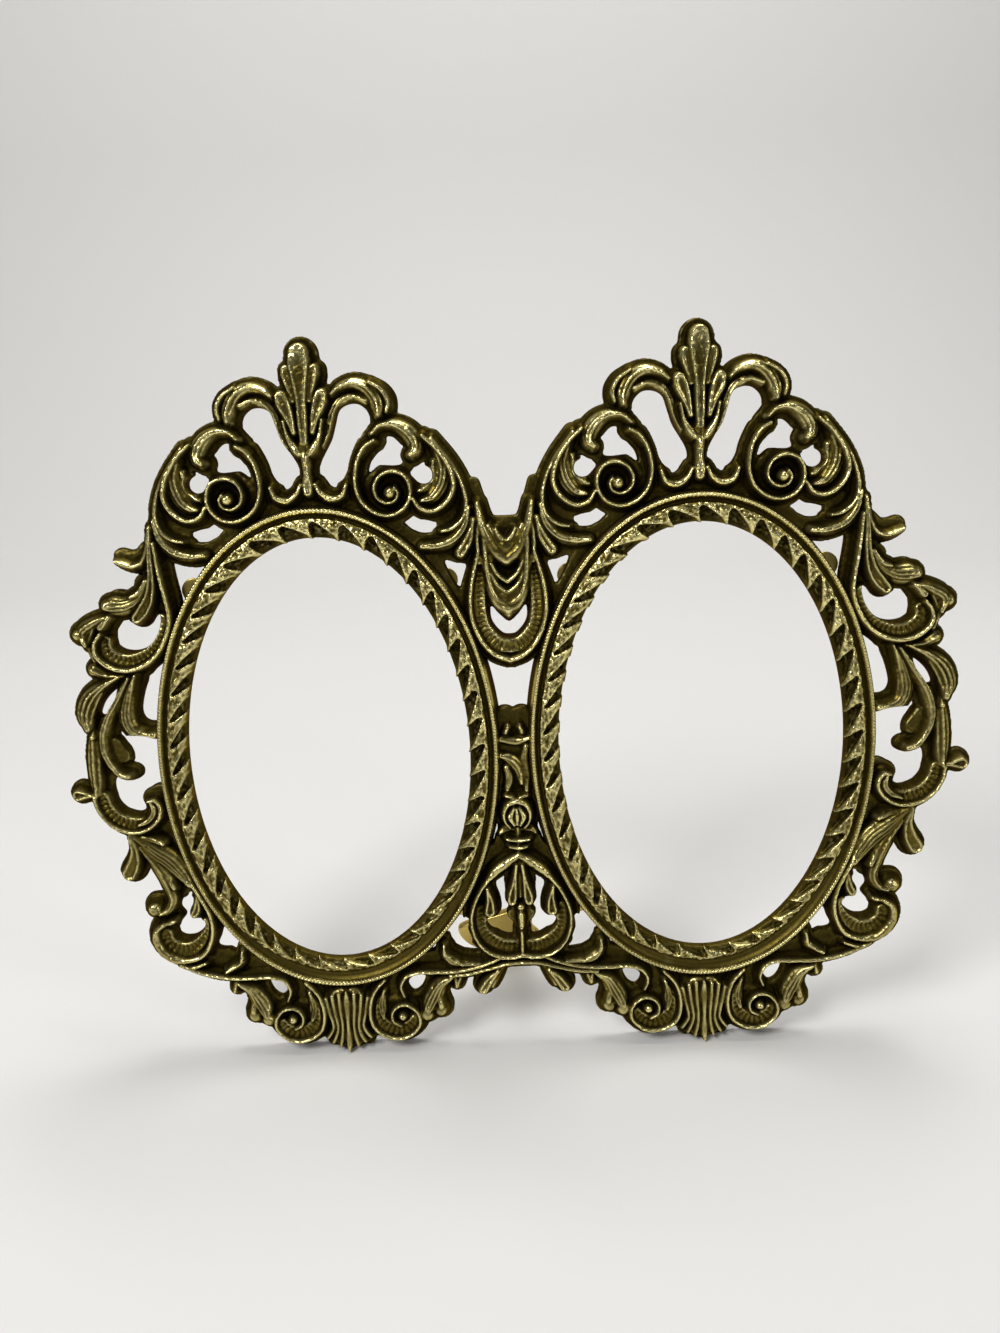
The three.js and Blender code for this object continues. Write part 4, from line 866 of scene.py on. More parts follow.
    def skin(self, owner: int) -> Skin:
        """Closes one section: a face for each grid point in front and behind, and walls round its edge.

        Args:
            owner: the section's number.

        Returns:
            The closed mesh.
        """
        mine = (self.field > 0.0) & (self.owner == owner)
        mine[[0, -1], :] = False
        mine[:, [0, -1]] = False
        used = mine[:-1, :-1] | mine[:-1, 1:] | mine[1:, :-1] | mine[1:, 1:]
        number = np.cumsum(used).reshape(used.shape) - 1
        x, y = (values[used] for values in self.cells())
        count = len(x)
        height = np.maximum(self.sampled(self.height, x, y), RIM_HEIGHT)
        flat_points = np.stack((self.across[0] + x * GRID_PITCH, self.up[0] + y * GRID_PITCH), axis=1)
        front = np.column_stack((flat_points, height))
        back = np.column_stack((flat_points, np.zeros(count)))
        row, column = np.nonzero(mine)
        corners = np.stack((number[row - 1, column - 1], number[row - 1, column], number[row, column],
                            number[row, column - 1]), axis=1)
        walls = []
        for step, first, second in (((0, 1), 2, 1), ((1, 0), 3, 2), ((0, -1), 0, 3), ((-1, 0), 1, 0)):
            edge = ~mine[row + step[0], column + step[1]]
            one, two = corners[edge, first], corners[edge, second]
            walls.append(np.stack((one, two, two + count, one + count), axis=1))
        faces = np.concatenate((corners, corners[:, ::-1] + count, *walls))
        flat = np.arange(len(faces)) >= len(corners)
        values = {
            "wear_and_highlight": np.concatenate((self.sampled(self.wear_and_highlight, x, y), np.zeros(count))),
            "patina_and_shade": np.concatenate((self.sampled(self.patina_and_shade, x, y), np.full(count, BACK_DARKENING))),
        }
        return Skin(np.concatenate((front, back)), faces, flat, values)


def add_object(name: str, data: bpy.types.ID) -> bpy.types.Object:
    """Puts a new object into the scene, at the origin."""
    added = bpy.data.objects.new(name, data)
    bpy.context.scene.collection.objects.link(added)
    return added


def mesh_object(name: str, skin: Skin) -> bpy.types.Object:
    """Puts a closed mesh into the scene, in the row frame.

    Args:
        name: the piece's name.
        skin: its points in the frame's plane, its faces and its values.

    Returns:
        The new object, at the origin.
    """
    crease = math.radians(40.0)
    mesh = bpy.data.meshes.new(name)
    mesh.vertices.add(len(skin.points))
    mesh.vertices.foreach_set("co", PLANE.to_world(skin.points).astype(np.float32).ravel())
    corners = np.concatenate((skin.faces.ravel(), *skin.caps))
    sizes = np.concatenate((np.full(len(skin.faces), 4), [len(cap) for cap in skin.caps])).astype(int)
    mesh.loops.add(len(corners))
    mesh.loops.foreach_set("vertex_index", corners.astype(np.int32))
    mesh.polygons.add(len(sizes))
    mesh.polygons.foreach_set("loop_start", (np.cumsum(sizes) - sizes).astype(np.int32))
    flat = mesh.attributes.new("sharp_face", "BOOLEAN", "FACE")
    flat.data.foreach_set("value", np.concatenate((skin.flat, np.ones(len(skin.caps), bool))))
    for key, values in skin.values.items():
        attribute = mesh.attributes.new(key, "FLOAT", "POINT")
        attribute.data.foreach_set("value", values.astype(np.float32))
    mesh.update(calc_edges=True)
    if not skin.values:
        mesh.set_sharp_from_angle(angle=crease)
    return add_object(name, mesh)


@dataclass(frozen=True)
class NodeKit:
    """Adds shader nodes to one node tree."""

    tree: bpy.types.NodeTree

    def add(self, kind: str, **settings: object) -> bpy.types.Node:
        """Adds a node and sets its properties, or its inputs where a setting starts with in_."""
        prefix = "in_"
        node = self.tree.nodes.new(kind)
        for key, value in settings.items():
            if key.startswith(prefix):
                node.inputs[key.removeprefix(prefix)].default_value = value
            else:
                setattr(node, key, value)
        return node

    def join(self, *pairs: tuple[bpy.types.NodeSocket, bpy.types.NodeSocket]) -> None:
        """Links each pair's first socket to its second."""
        for source, target in pairs:
            self.tree.links.new(source, target)

    def mix(self, factor: bpy.types.NodeSocket, first: bpy.types.NodeSocket,
            second: bpy.types.NodeSocket) -> bpy.types.NodeSocket:
        """Mixes two colours by a factor."""
        factor_in, first_in, second_in, colour_out = 0, 6, 7, 2
        node = self.add("ShaderNodeMix", data_type="RGBA")
        for source, number in ((factor, factor_in), (first, first_in), (second, second_in)):
            self.join((source, node.inputs[number]))
        return node.outputs[colour_out]

    def sum_of(self, value: bpy.types.NodeSocket, factor: float, start: bpy.types.NodeSocket | float,
               clamp: bool = True) -> bpy.types.NodeSocket:
        """Adds a value times a factor to a start value."""
        node = self.add("ShaderNodeMath", operation="MULTIPLY_ADD", use_clamp=clamp)
        self.join((value, node.inputs[0]))
        node.inputs[1].default_value = factor
        if isinstance(start, float):
            node.inputs[2].default_value = start
        else:
            self.join((start, node.inputs[2]))
        return node.outputs[0]

    def noise(self, where: bpy.types.NodeSocket, scale: float, detail: float) -> bpy.types.NodeSocket:
        """A fractal noise over a position, between 0 and 1."""
        node = self.add("ShaderNodeTexNoise", in_Scale=scale, in_Detail=detail, in_Roughness=0.6)
        self.join((where, node.inputs["Vector"]))
        return node.outputs["Fac"]


@dataclass(frozen=True)
class PatinaAndPaintedLight:
    """Brass with painted light: the bright colour, as wear and painted highlight, on what is proud, dark, as
    patina and painted shade, in what is recessed, mottled in between.

    Each noise has a scale per metre and a detail. A gain says how much of the wear and highlight, the patina
    and shade or a noise is added to a start value.
    """

    blotch: tuple[float, float] = (260.0, 4.0)
    speck: tuple[float, float] = (1500.0, 3.0)
    grain: tuple[float, float] = (4200.0, 2.0)
    lit_wear_start: float = -0.35
    lit_wear_gain: float = 1.1
    blotch_gain: float = 0.6
    shade_patina_start: float = -0.25
    shade_patina_gain: float = 1.15
    speck_gain: float = 0.5
    rough_start: float = 0.24
    rough_speck: float = 0.16
    rough_bright: float = -0.08
    rough_dark: float = 0.3
    metal_dark: float = -0.1
    height_gain: float = 0.5

    def group(self) -> bpy.types.NodeTree:
        """Makes the node group that every finish shares.

        Returns:
            A group with inputs for the wear and highlight, the patina and shade and the three colours, and
            outputs for a surface.
        """
        group = bpy.data.node_groups.new("brass_patina_and_light", "ShaderNodeTree")
        sockets = (
            ("INPUT", "Float", ("Wear_and_highlight", "Patina_and_shade")),
            ("INPUT", "Color", ("Worn", "Body", "Dark")),
            ("OUTPUT", "Color", ("Colour",)),
            ("OUTPUT", "Float", ("Roughness", "Metallic", "Height")),
        )
        for way, kind, names in sockets:
            for name in names:
                group.interface.new_socket(name, in_out=way, socket_type=f"NodeSocket{kind}")
        kit = NodeKit(group)
        source = kit.add("NodeGroupInput").outputs
        result = kit.add("NodeGroupOutput").inputs
        where = kit.add("ShaderNodeTexCoord").outputs["Object"]
        blotch, speck, grain = (kit.noise(where, *noise) for noise in (self.blotch, self.speck, self.grain))
        # Wear and painted highlight mix towards the bright colour; patina and painted shade mix towards the
        # dark colour
        lit_wear = kit.sum_of(source["Wear_and_highlight"], self.lit_wear_gain, self.lit_wear_start, clamp=False)
        worn = kit.sum_of(blotch, self.blotch_gain, lit_wear)
        dark_patina_shade = kit.sum_of(source["Patina_and_shade"], self.shade_patina_gain, self.shade_patina_start, clamp=False)
        dark = kit.sum_of(speck, self.speck_gain, dark_patina_shade)
        body = kit.mix(worn, source["Body"], source["Worn"])
        rough = kit.sum_of(speck, self.rough_speck, self.rough_start)
        rough = kit.sum_of(worn, self.rough_bright, rough)
        height = kit.sum_of(speck, self.height_gain, 0.0)
        kit.join(
            (kit.mix(dark, body, source["Dark"]), result["Colour"]),
            (kit.sum_of(dark, self.rough_dark, rough), result["Roughness"]),
            (kit.sum_of(dark, self.metal_dark, 1.0), result["Metallic"]),
            (kit.sum_of(grain, self.height_gain, height), result["Height"]),
        )
        return group


@dataclass(frozen=True)
class BrassFinish:
    """One brass finish: its colours where worn and painted bright, ordinary, and dark with patina and
    painted shade, its tint edge-on, and its grain.
    """

    name: str
    worn: Colour
    body: Colour
    dark: Colour
    glance: Colour
    grain: float
    grain_height: float = 0.1 * MM

    def material(self, group: bpy.types.NodeTree) -> bpy.types.Material:
        """Makes the material round the shared group of patina and painted light."""
        material = bpy.data.materials.new(self.name)
        material.use_nodes = True
        kit = NodeKit(material.node_tree)
        surface = kit.tree.nodes["Principled BSDF"].inputs
        surface["Specular Tint"].default_value = self.glance
        patina = kit.add("ShaderNodeGroup", node_tree=group)
        for name, colour in (("Worn", self.worn), ("Body", self.body), ("Dark", self.dark)):
            patina.inputs[name].default_value = colour
        for name, key in (("Wear_and_highlight", "wear_and_highlight"), ("Patina_and_shade", "patina_and_shade")):
            wear_and_light = kit.add("ShaderNodeAttribute", attribute_name=key)
            kit.join((wear_and_light.outputs["Fac"], patina.inputs[name]))
        bump = kit.add("ShaderNodeBump", in_Strength=self.grain, in_Distance=self.grain_height)
        kit.join(
            (patina.outputs["Height"], bump.inputs["Height"]),
            (patina.outputs["Colour"], surface["Base Color"]),
            (patina.outputs["Roughness"], surface["Roughness"]),
            (patina.outputs["Metallic"], surface["Metallic"]),
            (bump.outputs["Normal"], surface["Normal"]),
        )
        return material


FINISHES = (
    # The bright colour shows wear and painted highlight, the dark colour patina and painted shade
    BrassFinish(
        name="antique_brass",
        worn=(0.9, 0.8, 0.36, 1),
        body=(0.145, 0.11, 0.022, 1),
        dark=(0.02, 0.0138, 0.002, 1),
        glance=(0.4, 0.32, 0.14, 1),
        grain=0.6,
    ),
    BrassFinish(
        name="plain_brass",
        worn=(0.72, 0.57, 0.2, 1),
        body=(0.58, 0.445, 0.13, 1),
        dark=(0.2, 0.13, 0.04, 1),
        glance=(0.9, 0.8, 0.6, 1),
        grain=0.15,
    ),
    BrassFinish(
        name="screw_brass",
        worn=(0.7, 0.52, 0.2, 1),
        body=(0.5, 0.36, 0.12, 1),
        dark=(0.15, 0.1, 0.03, 1),
        glance=(0.9, 0.8, 0.6, 1),
        grain=0.15,
    ),
)


@dataclass(frozen=True)
class Finisher:
    """Puts pieces into the scene, each with its material, body, slot and the nodes that it stands for."""

    materials: dict[str, bpy.types.Material]

    def add(self, name: str, skin: Skin, slot: str, body: str, *nodes: str) -> None:
        """Makes and finishes one piece.

        Args:
            name: the piece's name.
            skin: its closed mesh.
            slot: the record's material slot.
            body: the body that it moves with.
            nodes: the nodes that it stands for.
        """
        piece = mesh_object(name, skin)
        piece.data.materials.append(self.materials[slot])
        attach(piece, body)
        if nodes:
            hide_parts(*nodes)
        LOG.info("%s: %d faces on %s", piece.name, len(piece.data.polygons), body)

    def finish_node(self, node: bpy.types.Object, slot: str) -> None:
        """Gives a node that stays its material."""
        node.data.materials.clear()
        node.data.materials.append(self.materials[slot])
        LOG.info("%s: kept", node.name)


@dataclass(frozen=True)
class Motif:
    """Strokes and holes of one section, with the places where they are drawn."""

    strokes: tuple[Stroke, ...]
    holes: tuple[Loop, ...]
    places: tuple[Place, ...]


@dataclass
class Scrollwork:
    """The pierced casting outside the rings, as one relief parted into sections."""

    low: tuple[float, float] = (-80.0, -58.0)
    high: tuple[float, float] = (80.0, 71.5)

    def sections(self) -> dict[str, list[Motif]]:
        """What is drawn in each section, by the name of the node that it stands for."""
        sections: dict[str, list[Motif]] = {}
        for word, side in (("left", -1), ("right", 1)):
            axis = side * OVAL_OFFSET
            once = (Place(axis),)
            twice = (Place(axis), Place(axis, -1))
            sections[f"{word}_crest"] = [Motif(CREST_AXIS, (), once), Motif(CREST_PAIR, CREST_HOLES, twice)]
            sections[f"{word}_side_scroll"] = [Motif(SIDE_STROKES, SIDE_HOLES, (Place(axis, side),))]
            sections[f"{word}_pendant"] = [
                Motif(PENDANT_AXIS, (), once), Motif(PENDANT_PAIR, PENDANT_HOLES, twice),
            ]
        centre = (Place(0.0),)
        both = (Place(0.0), Place(0.0, -1))
        sections["centre_drapery"] = [
            Motif(DRAPERY_PAIR, DRAPERY_HOLES, both), Motif((), (SWAG_HOLE,), centre),
        ]
        sections["centre_heart"] = [Motif(HEART_AXIS, (), centre), Motif(HEART_PAIR, HEART_HOLES, both)]
        return sections

    def drawn(self) -> Iterator[tuple[int, Motif, Place]]:
        """Each motif at each of its places, after the number of its section."""
        for owner, motifs in enumerate(self.sections().values()):
            for motif in motifs:
                for place in motif.places:
                    yield owner, motif, place

    def trim(self, relief: Relief) -> np.ndarray:
        """Distance inside what bounds the relief: the table below, and each ring's tuck line.

        An ellipse's distance is its level divided by the level's slope.
        """
        least = 1e-6
        table = -PLANE.origin[2] / PLANE.up[2] / MM
        gap = np.tile((relief.up - table)[:, None], (1, len(relief.across)))
        half_width = SIGHT_HALF_WIDTH + RING_WIDTH - RING_TUCK
        half_height = SIGHT_HALF_HEIGHT + RING_WIDTH - RING_TUCK
        for side in (-1, 1):
            x = (relief.across[None, :] - side * OVAL_OFFSET) / half_width
            y = relief.up[:, None] / half_height
            level = np.hypot(x, y)
            slope = np.hypot(x / half_width, y / half_height) / np.maximum(level, least)
            gap = np.minimum(gap, (level - 1.0) / np.maximum(slope, least))
        return gap

    def build(self, finisher: Finisher) -> None:
        """Carves every section, pierces the holes, and puts each section into the scene."""
        relief = Relief(self.low, self.high)
        for owner, motif, place in self.drawn():
            for stroke in motif.strokes:
                relief.carve(stroke, place, owner)
        for _, motif, place in self.drawn():
            for loop in motif.holes:
                relief.pierce(loop, place)
        relief.settle(self.trim(relief))
        for owner, node in enumerate(self.sections()):
            finisher.add(f"{node}_casting", relief.skin(owner), "antique_brass", "casting", node)


def joined_loops(loops: int, count: int, closed: bool) -> np.ndarray:
    """Faces between loops of equal count, each joined to the next, and the last to the first if closed."""
    number = np.arange(loops * count).reshape(loops, count)
    lower = number if closed else number[:-1]
    upper = np.roll(number, -1, axis=0) if closed else number[1:]
    return np.stack((lower, np.roll(lower, -1, 1), np.roll(upper, -1, 1), upper), axis=2).reshape(-1, 4)


@dataclass
class RopeRing:
    """One oval ring: a rope of gouged teeth at the sight edge, a narrow cove, and a milled bead.

    A value such as foot_width says how much less of that there is at the ring's foot, and foot_part and
    foot_turn say where the foot lies.
    """

    side: int
    steps: int = 1400
    columns: int = 56
    seed: int = 23

    # Rope, in millimetres out from the sight edge and above the back
    lobes: int = 44
    rope_width: float = 3.15
    rope_foot: float = 2.3
    rope_crown: float = 2.0
    crown_spread: float = 1.05
    rope_top: float = 3.75
    rope_fall: float = 0.4
    foot_width: float = 0.9
    foot_crown: float = 0.6
    foot_top: float = 0.3

    # Scoops, and how they are cut round the ring
    arris_low: float = 0.3
    arris_high: float = 2.8
    foot_arris: float = 0.75
    scoop_depth: float = 1.3
    foot_depth: float = 0.3
    scoop_end: float = 0.66
    scoop_mouth: Ramp = Ramp(0.0, 0.4)
    scoop_reach: Ramp = Ramp(-0.9, 1.3)
    bevel: float = 0.75
    bevel_taper: float = 0.55
    bevel_fall: Ramp = Ramp(0.0, 1.0)
    floor_edge: Ramp = Ramp(0.5, 1.1)
    floor_mouth: Ramp = Ramp(0.2, 0.7)
    lean: float = 0.45
    lean_left: float = 0.8
    lean_right: float = 0.5
    lean_foot: float = 0.4
    late_left: float = 0.42
    left_part: Ramp = Ramp(0.1, 0.8)
    right_part: Ramp = Ramp(0.3, 0.9)
    foot_part: Ramp = Ramp(0.55, 0.95)
    foot_turn: float = 0.2

    # Cove, bead, wall and rebate
    cove_level: float = 2.5
    cove_rim: float = 0.35
    cove_rise: float = 0.25
    bead_middle: float = 4.42
    bead_half: float = 0.52
    bead_top: float = 3.95
    milling_pitch: float = 0.5
    milling_depth: float = 0.2
    milling_slant: float = 0.6
    wall_share: float = 0.8
    wall_foot: float = 5.55
    wall_gap: float = 0.06
    lip: float = 1.3
    rebate: float = 1.5
    least_height: float = 0.2

    # Skin of the rope, in millimetres, and the size of its pits and arrises in grid steps
    scallop: float = 0.25
    scallop_reach: Ramp = Ramp(0.0, 1.3)
    stipple: float = 0.055
    stipple_from: Ramp = Ramp(0.3, 1.0)
    pitted: float = 0.025
    pitted_past: float = 0.3
    pit_size: float = 1.4
    arris_size: float = 3.0

    # Wear with painted highlight and glints, dark patina with painted shade, painted lighter at the foot and
    # on the left; the cove's end and the wall's start by their distance from the bead's middle
    past_rope: Ramp = Ramp(0.0, 0.2)
    cove_end: float = 0.45
    wall_start: float = 0.4
    wall_full: float = 0.75
    tooth_from: Ramp = Ramp(0.2, 1.0)
    tooth_wear_highlight: float = 0.27
    arris_wear_highlight: Ramp = Ramp(0.02, 0.2, 0.65)
    pit_glint: float = 0.28
    cove_patina_shade: float = 0.55
    cove_lit_at_foot: float = 0.22
    wall_patina_shade: float = 0.6
    scoop_shade: float = 0.32
    floor_shade: float = 0.68
    floor_lit_at_foot: float = 0.3
    floor_lit_on_left: float = 0.4
    pit_shade: float = 0.15

    def __post_init__(self) -> None:
        """Lays out turns round the ring and offsets from its sight edge, and carves the front."""
        self.angle = np.linspace(0.0, 2.0 * np.pi, self.steps, endpoint=False)[:, None]
        self.cosine, self.sine = np.cos(self.angle), np.sin(self.angle)
        chord = np.hypot(SIGHT_HALF_WIDTH * self.sine, SIGHT_HALF_HEIGHT * self.cosine)
        self.run = np.cumsum(chord * (self.angle[1] - self.angle[0]), axis=0)
        self.offset = np.linspace(0.0, self.wall_foot - self.wall_gap, self.columns)[None, :]
        self.gouge()
        self.width = self.rope_width - self.foot_width * self.foot
        self.past = self.offset - self.width
        rope = self.rope()
        self.height = self.front(rope)
        self.pits = blur(np.random.default_rng(self.seed + self.side).standard_normal(self.height.shape),
                         self.pit_size, wrap=True)
        self.pits /= self.pits.std()
        bevelled = self.scoop * (1.0 - self.floor)
        self.stippled = self.stipple_from(self.offset) * (1.0 - self.past_rope(self.past)) * (1.0 - bevelled)

    def gouge(self) -> None:
        """Finds how the rope is cut round the ring.

        The scoops lean and start late on the left, by a share of a pitch, and are slighter at the foot.
        """
        leftward = self.left_part(-self.cosine)
        rightward = self.right_part(self.cosine)
        self.foot = self.foot_part(-np.sin(self.angle - self.foot_turn))
        lean = self.lean + self.lean_left * leftward + self.lean_right * rightward
        self.slant = lean + self.lean_foot * self.foot
        self.start = self.late_left * leftward * (1.0 - self.foot)

    def rope(self) -> np.ndarray:
        """A crowned rope, cut by scoops.

        A scoop lies below an arris that climbs outwards along each pitch and rounds down into a wall at its
        end. It falls from the arris in a smooth bevel to a floor. How far each point lies down a bevel, and
        on a floor, is kept for the painted wear, patina and shade.

        Returns:
            The rope's height above the back.
        """
        crown = self.rope_crown - self.foot_crown * self.foot
        inward = np.clip((crown - self.offset) / (self.crown_spread * crown), 0.0, 1.0)
        outward = np.clip((self.offset - crown) / (self.width - crown), 0.0, 1.0)
        top = self.rope_top - self.foot_top * self.foot
        rope = self.rope_foot + (top - self.rope_foot) * bow(inward) - self.rope_fall * outward**2
        phase = (self.run - self.slant * self.offset) * self.lobes / self.run[-1]
        share = phase - np.floor(phase)
        closing = np.clip((share - self.scoop_end) / (1.0 - self.scoop_end), 0.0, 1.0)
        climb = np.clip((share - self.start) / (self.scoop_end - self.start), 0.0, 1.0)
        high = self.arris_high - self.foot_arris * self.foot
        arris = (self.arris_low + (high - self.arris_low) * climb) * bow(closing)
        below = np.maximum(arris - self.offset, 0.0) / (self.bevel * (1.0 - self.bevel_taper * share))
        self.scoop = self.bevel_fall(below) * self.scoop_mouth(climb)
        self.floor = self.floor_edge(below) * self.floor_mouth(climb)
        deep = self.scoop_depth * (1.0 - self.foot_depth * self.foot)
        return rope - deep * self.scoop * self.scoop_reach(self.offset)

    def front(self, rope: np.ndarray) -> np.ndarray:
        """The ring's front: the rope, a hollow cove, and a half-round bead with slanting notches.

        Args:
            rope: the rope's own height.

        Returns:
            The height above the back.
        """
        inner = self.bead_middle - self.bead_half
        cove_share = np.clip((self.offset - self.width) / (inner - self.width), 0.0, 1.0)
        cove = self.cove_level + self.cove_rim * (2.0 * cove_share - 1.0) ** 2 + self.cove_rise * cove_share
        round_bead = bow(np.abs(self.offset - self.bead_middle) / self.bead_half)
        slanted = self.run + self.milling_slant * self.offset
        notch = 0.5 + 0.5 * np.cos(2.0 * np.pi * slanted / self.milling_pitch)
        bead = self.cove_level + (self.bead_top - self.cove_level) * round_bead
        bead = bead - self.milling_depth * notch * round_bead
        sight = np.maximum(rope, self.lip + self.least_height)
        front = np.where(self.offset > self.width, np.maximum(cove, bead), sight)
        outside = self.bead_middle + self.bead_half * self.wall_share
        wall = self.bead_top * self.wall_share * (self.wall_foot - self.offset) / (self.wall_foot - outside)
        walled = np.minimum(front, np.maximum(wall, self.least_height))
        return np.where(self.offset > outside, walled, front)

    def wear_and_light(self, across: np.ndarray, up: np.ndarray) -> dict[str, np.ndarray]:
        """Paints wear and highlight on teeth, arrises and pit tops, brighter towards the crest, and patina
        and shade in the cove, the wall, the pits and the scoops' floors, with the cove painted lighter at
        the foot and the floors lighter at the foot and on the left.

        Args:
            across: where the front's points lie across the frame.
            up: where they lie up the frame.

        Returns:
            The front's wear and highlight, and its patina and shade.
        """
        arris = self.height - blur(self.height, self.arris_size, wrap=True)
        cove = self.past_rope(self.past) * (self.offset < self.bead_middle - self.cove_end)
        wall = Ramp(self.bead_middle + self.wall_start, self.bead_middle + self.wall_full)(self.offset)
        tooth = self.tooth_from(self.offset) * (1.0 - self.scoop)
        # Wear and painted highlight: teeth, arrises and the tops of the stipple's pits are painted brighter,
        # more towards the crest and less on the outer sides
        wear_and_highlight = self.tooth_wear_highlight * tooth + self.arris_wear_highlight(arris)
        wear_and_highlight = wear_and_highlight + self.pit_glint * self.pits * self.stippled
        wear_and_highlight = np.clip(wear_and_highlight, 0.0, 1.0) * (1.0 - cove) * (1.0 - wall) * painted_top_light(across, up)
        # Patina and painted shade: the cove, the wall and the scoops' floors are painted darker; the cove is
        # painted lighter at the foot, and the floors lighter at the foot and on the left
        shade = np.maximum((self.cove_patina_shade - self.cove_lit_at_foot * self.foot) * cove, self.wall_patina_shade * wall)
        dark = self.floor_shade - self.floor_lit_at_foot * self.foot - self.floor_lit_on_left * self.start
        patina_and_shade = np.maximum(np.maximum(self.scoop_shade * self.scoop, dark * self.floor), shade)
        # Painted shade in the stipple's pits
        patina_and_shade = patina_and_shade + self.pit_shade * np.maximum(-self.pits, 0.0) * self.stippled
        return {"wear_and_highlight": wear_and_highlight, "patina_and_shade": patina_and_shade}

    def build(self, finisher: Finisher) -> None:
        """Carries the front and the rebate behind it round the sight ellipse, into the scene."""
        skin_height = self.pitted * (self.past < self.pitted_past) + self.stipple * self.stippled
        height = self.height + skin_height * self.pits
        bulge = self.scallop * (0.5 - self.scoop[:, :1]) * (1.0 - self.scallop_reach(self.offset))
        behind = np.array((
            (self.wall_foot, 0.0), (self.rebate, 0.0), (self.rebate, self.lip), (0.0, self.lip),
        ))
        every = np.ones((self.steps, 1))
        offset = np.concatenate((self.offset - bulge, every * behind[:, 0]), axis=1)
        height = np.concatenate((height, every * behind[:, 1]), axis=1)
        outward = np.concatenate((self.cosine / SIGHT_HALF_WIDTH, self.sine / SIGHT_HALF_HEIGHT), axis=1)
        outward /= np.linalg.norm(outward, axis=1, keepdims=True)
        x = self.side * OVAL_OFFSET + SIGHT_HALF_WIDTH * self.cosine + offset * outward[:, :1]
        y = SIGHT_HALF_HEIGHT * self.sine + offset * outward[:, 1:]
        points = np.stack((x, y, height), axis=2)
        count = points.shape[1]
        flat = np.tile(np.arange(count) >= self.columns - 1, self.steps)
        wear_and_light = self.wear_and_light(x[:, :self.columns], y[:, :self.columns])
        values = {}
        for key, backed in (("wear_and_highlight", 0.0), ("patina_and_shade", BACK_DARKENING)):
            back = np.full((self.steps, len(behind)), backed)
            values[key] = np.concatenate((wear_and_light[key], back), axis=1).ravel()
        word = "left" if self.side < 0 else "right"
        skin = Skin(points.reshape(-1, 3), joined_loops(self.steps, count, closed=True), flat, values)
        finisher.add(f"{word}_rope_ring", skin, "antique_brass", "casting", f"{word}_oval_ring")


@dataclass(frozen=True)
class Stand:
    """A place for a fitting: a point in the frame's plane with its own across and up directions there."""

    origin: np.ndarray
    across: np.ndarray
    up: np.ndarray

    def place(self, points: np.ndarray) -> np.ndarray:
        """Moves points from the fitting's own axes into the frame's plane."""
        return self.origin + points @ np.stack((self.across, self.up, np.cross(self.across, self.up)))

    @classmethod
    def turned(cls, origin: Sequence[float], angle: float) -> "Stand":
        """A place in the plane, turned about its normal by an angle in radians."""
        cosine, sine = math.cos(angle), math.sin(angle)
        return cls(np.array(origin, float), np.array((cosine, sine, 0.0)), np.array((-sine, cosine, 0.0)))


def wrapped_skin(rows: np.ndarray, stand: Stand, closed: bool) -> Skin:
    """Joins loops of equal length, each to the next, and to the first again where the surface is a ring.

    Args:
        rows: the loops, as (loops, count, 3) points.
        stand: where the fitting stands.
        closed: whether the last loop joins the first; otherwise the two end loops are capped.

    Returns:
        The closed mesh, with its faces outwards.
    """
    loops, count, _ = rows.shape
    faces = joined_loops(loops, count, closed)
    first = np.arange(count)
    caps = () if closed else (first[::-1], first + (loops - 1) * count)
    points = stand.place(rows.reshape(-1, 3))
    corners = points[faces] - points.mean(axis=0)
    volume = np.einsum("ij,ij->", corners[:, 0], np.cross(corners[:, 1], corners[:, 2]))
    if volume < 0.0:
        faces = faces[:, ::-1]
        caps = tuple(cap[::-1] for cap in caps)
    return Skin(points, faces, np.zeros(len(faces), bool), {}, caps)


def turned_rows(profile: np.ndarray, sides: int) -> np.ndarray:
    """Turns a profile of (radius, height) rows once round the out axis."""
    angle = np.linspace(0.0, 2.0 * np.pi, sides, endpoint=False)
    radius, height = profile[:, :1], profile[:, 1:]
    return np.stack((radius * np.cos(angle), radius * np.sin(angle), height + 0.0 * angle), axis=2)


def round_over(radius: float, steps: int = 5) -> np.ndarray:
    """A quarter circle over an edge, as rows of (inset, rise)."""
    angle = np.linspace(0.0, np.pi / 2, steps)
    return radius * np.column_stack((1.0 - np.sin(angle), 1.0 - np.cos(angle)))


@dataclass
class Screw:
    """A round-headed slotted screw, seen from behind."""

    name: str
    stand: Stand
    sheet: float
    shank: float = 0.7
    reach: float = 0.9
    head: float = 1.2
    head_height: float = 0.8
    rim_share: float = 0.3
    crown_share: float = 0.02
    slot_half: float = 0.17
    slot_round: float = 0.03
    slot_depth: float = 0.4
    gap: float = 0.3
    sides: int = 72
    rings: int = 26

    def build(self, finisher: Finisher) -> None:
        """Turns the profile about the screw's axis and sinks the slot across its domed head."""
        seat = -2.0 * self.gap - self.sheet
        share = np.linspace(self.crown_share, 1.0, self.rings)
        rise = self.head_height * (self.rim_share + (1.0 - self.rim_share) * bow(share))
        crown = np.column_stack((self.head * share, seat - rise))
        under = np.array(((self.head, seat), (self.shank, seat), (self.shank, self.reach)))
        rows = turned_rows(np.concatenate((crown, under)), self.sides)
        top = rows[:self.rings]
        beside = Ramp(self.slot_half - self.slot_round, self.slot_half + self.slot_round)
        floor = seat - self.head_height + self.slot_depth
        top[..., 2] += (1.0 - beside(np.abs(top[..., 1]))) * np.maximum(floor - top[..., 2], 0.0)
        skin = wrapped_skin(rows, self.stand, closed=False)
        finisher.add(f"{self.name}_turned", skin, "screw_brass", "casting", self.name)


